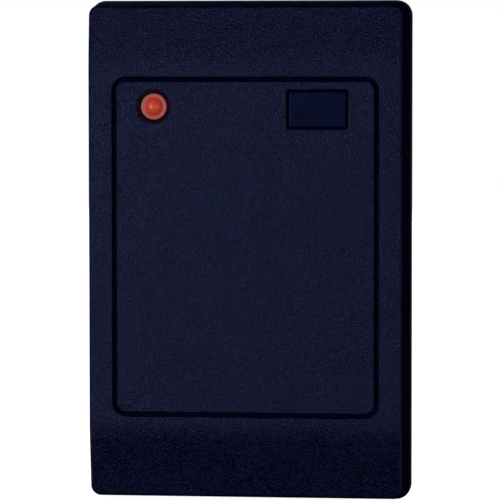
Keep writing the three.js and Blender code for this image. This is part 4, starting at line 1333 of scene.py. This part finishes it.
def direction(azimuth, elevation):
    """A unit vector away from the reader. Azimuth 0 is straight in front, 90 to the right."""
    a, e = math.radians(azimuth), math.radians(elevation)
    return Vector((math.sin(a) * math.cos(e), -math.cos(a) * math.cos(e), math.sin(e)))


def shown_and_lit(links, nodes, shown, lit):
    """One colour where the camera sees a surface and another in the light it passes on."""
    path = nodes.new("ShaderNodeLightPath")
    mix = nodes.new("ShaderNodeMix")
    mix.data_type = "RGBA"
    mix.inputs["A"].default_value = (*lit, 1)
    mix.inputs["B"].default_value = (shown, shown, shown, 1)
    links.new(path.outputs["Is Camera Ray"], mix.inputs["Factor"])
    return mix.outputs["Result"]


def build_stage():
    """A pale floor and surroundings that light the reader only dimly, so that its walls stay dark."""
    level = -(HEIGHT / 2 * MM + FLOOR_GAP)
    corners = [(x * FLOOR_HALF, y * FLOOR_HALF, level) for x, y in ((-1, -1), (1, -1), (1, 1), (-1, 1))]
    mesh = bpy.data.meshes.new("floor")
    mesh.from_pydata(corners, [], [(0, 1, 2, 3)])
    floor = linked("floor", mesh)
    paint = bpy.data.materials.new("floor_paint")
    paint.use_nodes = True
    nodes, links = paint.node_tree.nodes, paint.node_tree.links
    base = nodes["Principled BSDF"]
    base.inputs["Roughness"].default_value = 1.0
    base.inputs["Specular IOR Level"].default_value = 0.0
    links.new(shown_and_lit(links, nodes, 0.35, (0.03, 0.03, 0.04)), base.inputs["Base Color"])
    links.new(shown_and_lit(links, nodes, 0.97, (0, 0, 0)), base.inputs["Emission Color"])
    base.inputs["Emission Strength"].default_value = 1.0
    mesh.materials.append(paint)
    floor.visible_glossy = False
    floor.visible_shadow = False

    world = bpy.data.worlds.new("studio")
    bpy.context.scene.world = world
    world.use_nodes = True
    nodes, links = world.node_tree.nodes, world.node_tree.links
    links.new(shown_and_lit(links, nodes, 1.0, (0.08, 0.085, 0.11)), nodes["Background"].inputs["Color"])
    world.cycles_visibility.glossy = False
    bpy.context.scene.view_settings.view_transform = "Standard"


def softbox(name, azimuth, elevation, distance, size, watts, matte=False):
    """A soft area light that looks at the reader. A matte one shows in no reflection."""
    away = direction(azimuth, elevation)
    data = bpy.data.lights.new(name, "AREA")
    data.shape = "RECTANGLE"
    data.size, data.size_y = size, size
    data.energy = watts
    obj = linked(name, data)
    obj.location = CAMERA_TARGET + away * distance
    obj.rotation_euler = (-away).to_track_quat("-Z", "Y").to_euler()
    obj.visible_camera = False
    obj.visible_glossy = not matte


def build_lights():
    softbox("front_left", -23, 1.0, 1.3, 0.16, 1.45)
    softbox("front_right", 11, 1.0, 1.3, 0.34, 0.63)
    softbox("front_fill", -30, 10, 1.4, 0.9, 6.5, matte=True)
    softbox("left_fill", -95, 10, 1.4, 0.9, 12, matte=True)
    softbox("right_fill", 92, 5, 1.4, 0.9, 2.6, matte=True)
    softbox("left_gloss", -60, -18, 1.4, 0.6, 0.9)
    softbox("right_gloss", 50, -18, 1.4, 0.6, 1.2)
    softbox("back_fill", 180, 25, 1.4, 0.9, 26, matte=True)
    softbox("back_gloss", -150, 20, 1.4, 0.9, 0.1)


def build_camera():
    away = direction(CAMERA_AZIMUTH, CAMERA_ELEVATION)
    data = bpy.data.cameras.new("camera")
    data.sensor_width = 36
    data.lens = CAMERA_LENS
    data.shift_x, data.shift_y = CAMERA_SHIFT_X, CAMERA_SHIFT_Y
    data.clip_start, data.clip_end = 0.01, 200
    camera = linked("camera", data)
    camera.location = CAMERA_TARGET + away * CAMERA_DISTANCE
    look = (-away).to_track_quat("-Z", "Y").to_matrix().to_4x4()
    roll = Matrix.Rotation(math.radians(CAMERA_ROLL), 4, "Z")
    camera.rotation_euler = (look @ roll).to_euler()
    bpy.context.scene.camera = camera


MATERIALS = make_materials()
build_housing()
build_badge()
build_light()
build_plate()
build_grommet()
build_lock()
build_board()
build_tracks()
small_outline("microcontroller", 10, LEAD_PITCH, 1.4)
small_outline("reader_chip", 7, LEAD_PITCH, 1.05)
for number in range(6):
    two_ended(f"resistor_{number + 1}", "alumina", 0.35, top_look="ink")
for number in range(4):
    two_ended(f"ceramic_capacitor_{number + 1}", "ceramic", 0.4)
for number in (1, 2):
    build_diode(f"diode_{number}")
    build_can(f"capacitor_{number}")
build_regulator()
build_crystal()
build_buzzer()
build_header()
build_coil()
build_board_screws()
build_tamper()
build_stage()
build_lights()
build_camera()
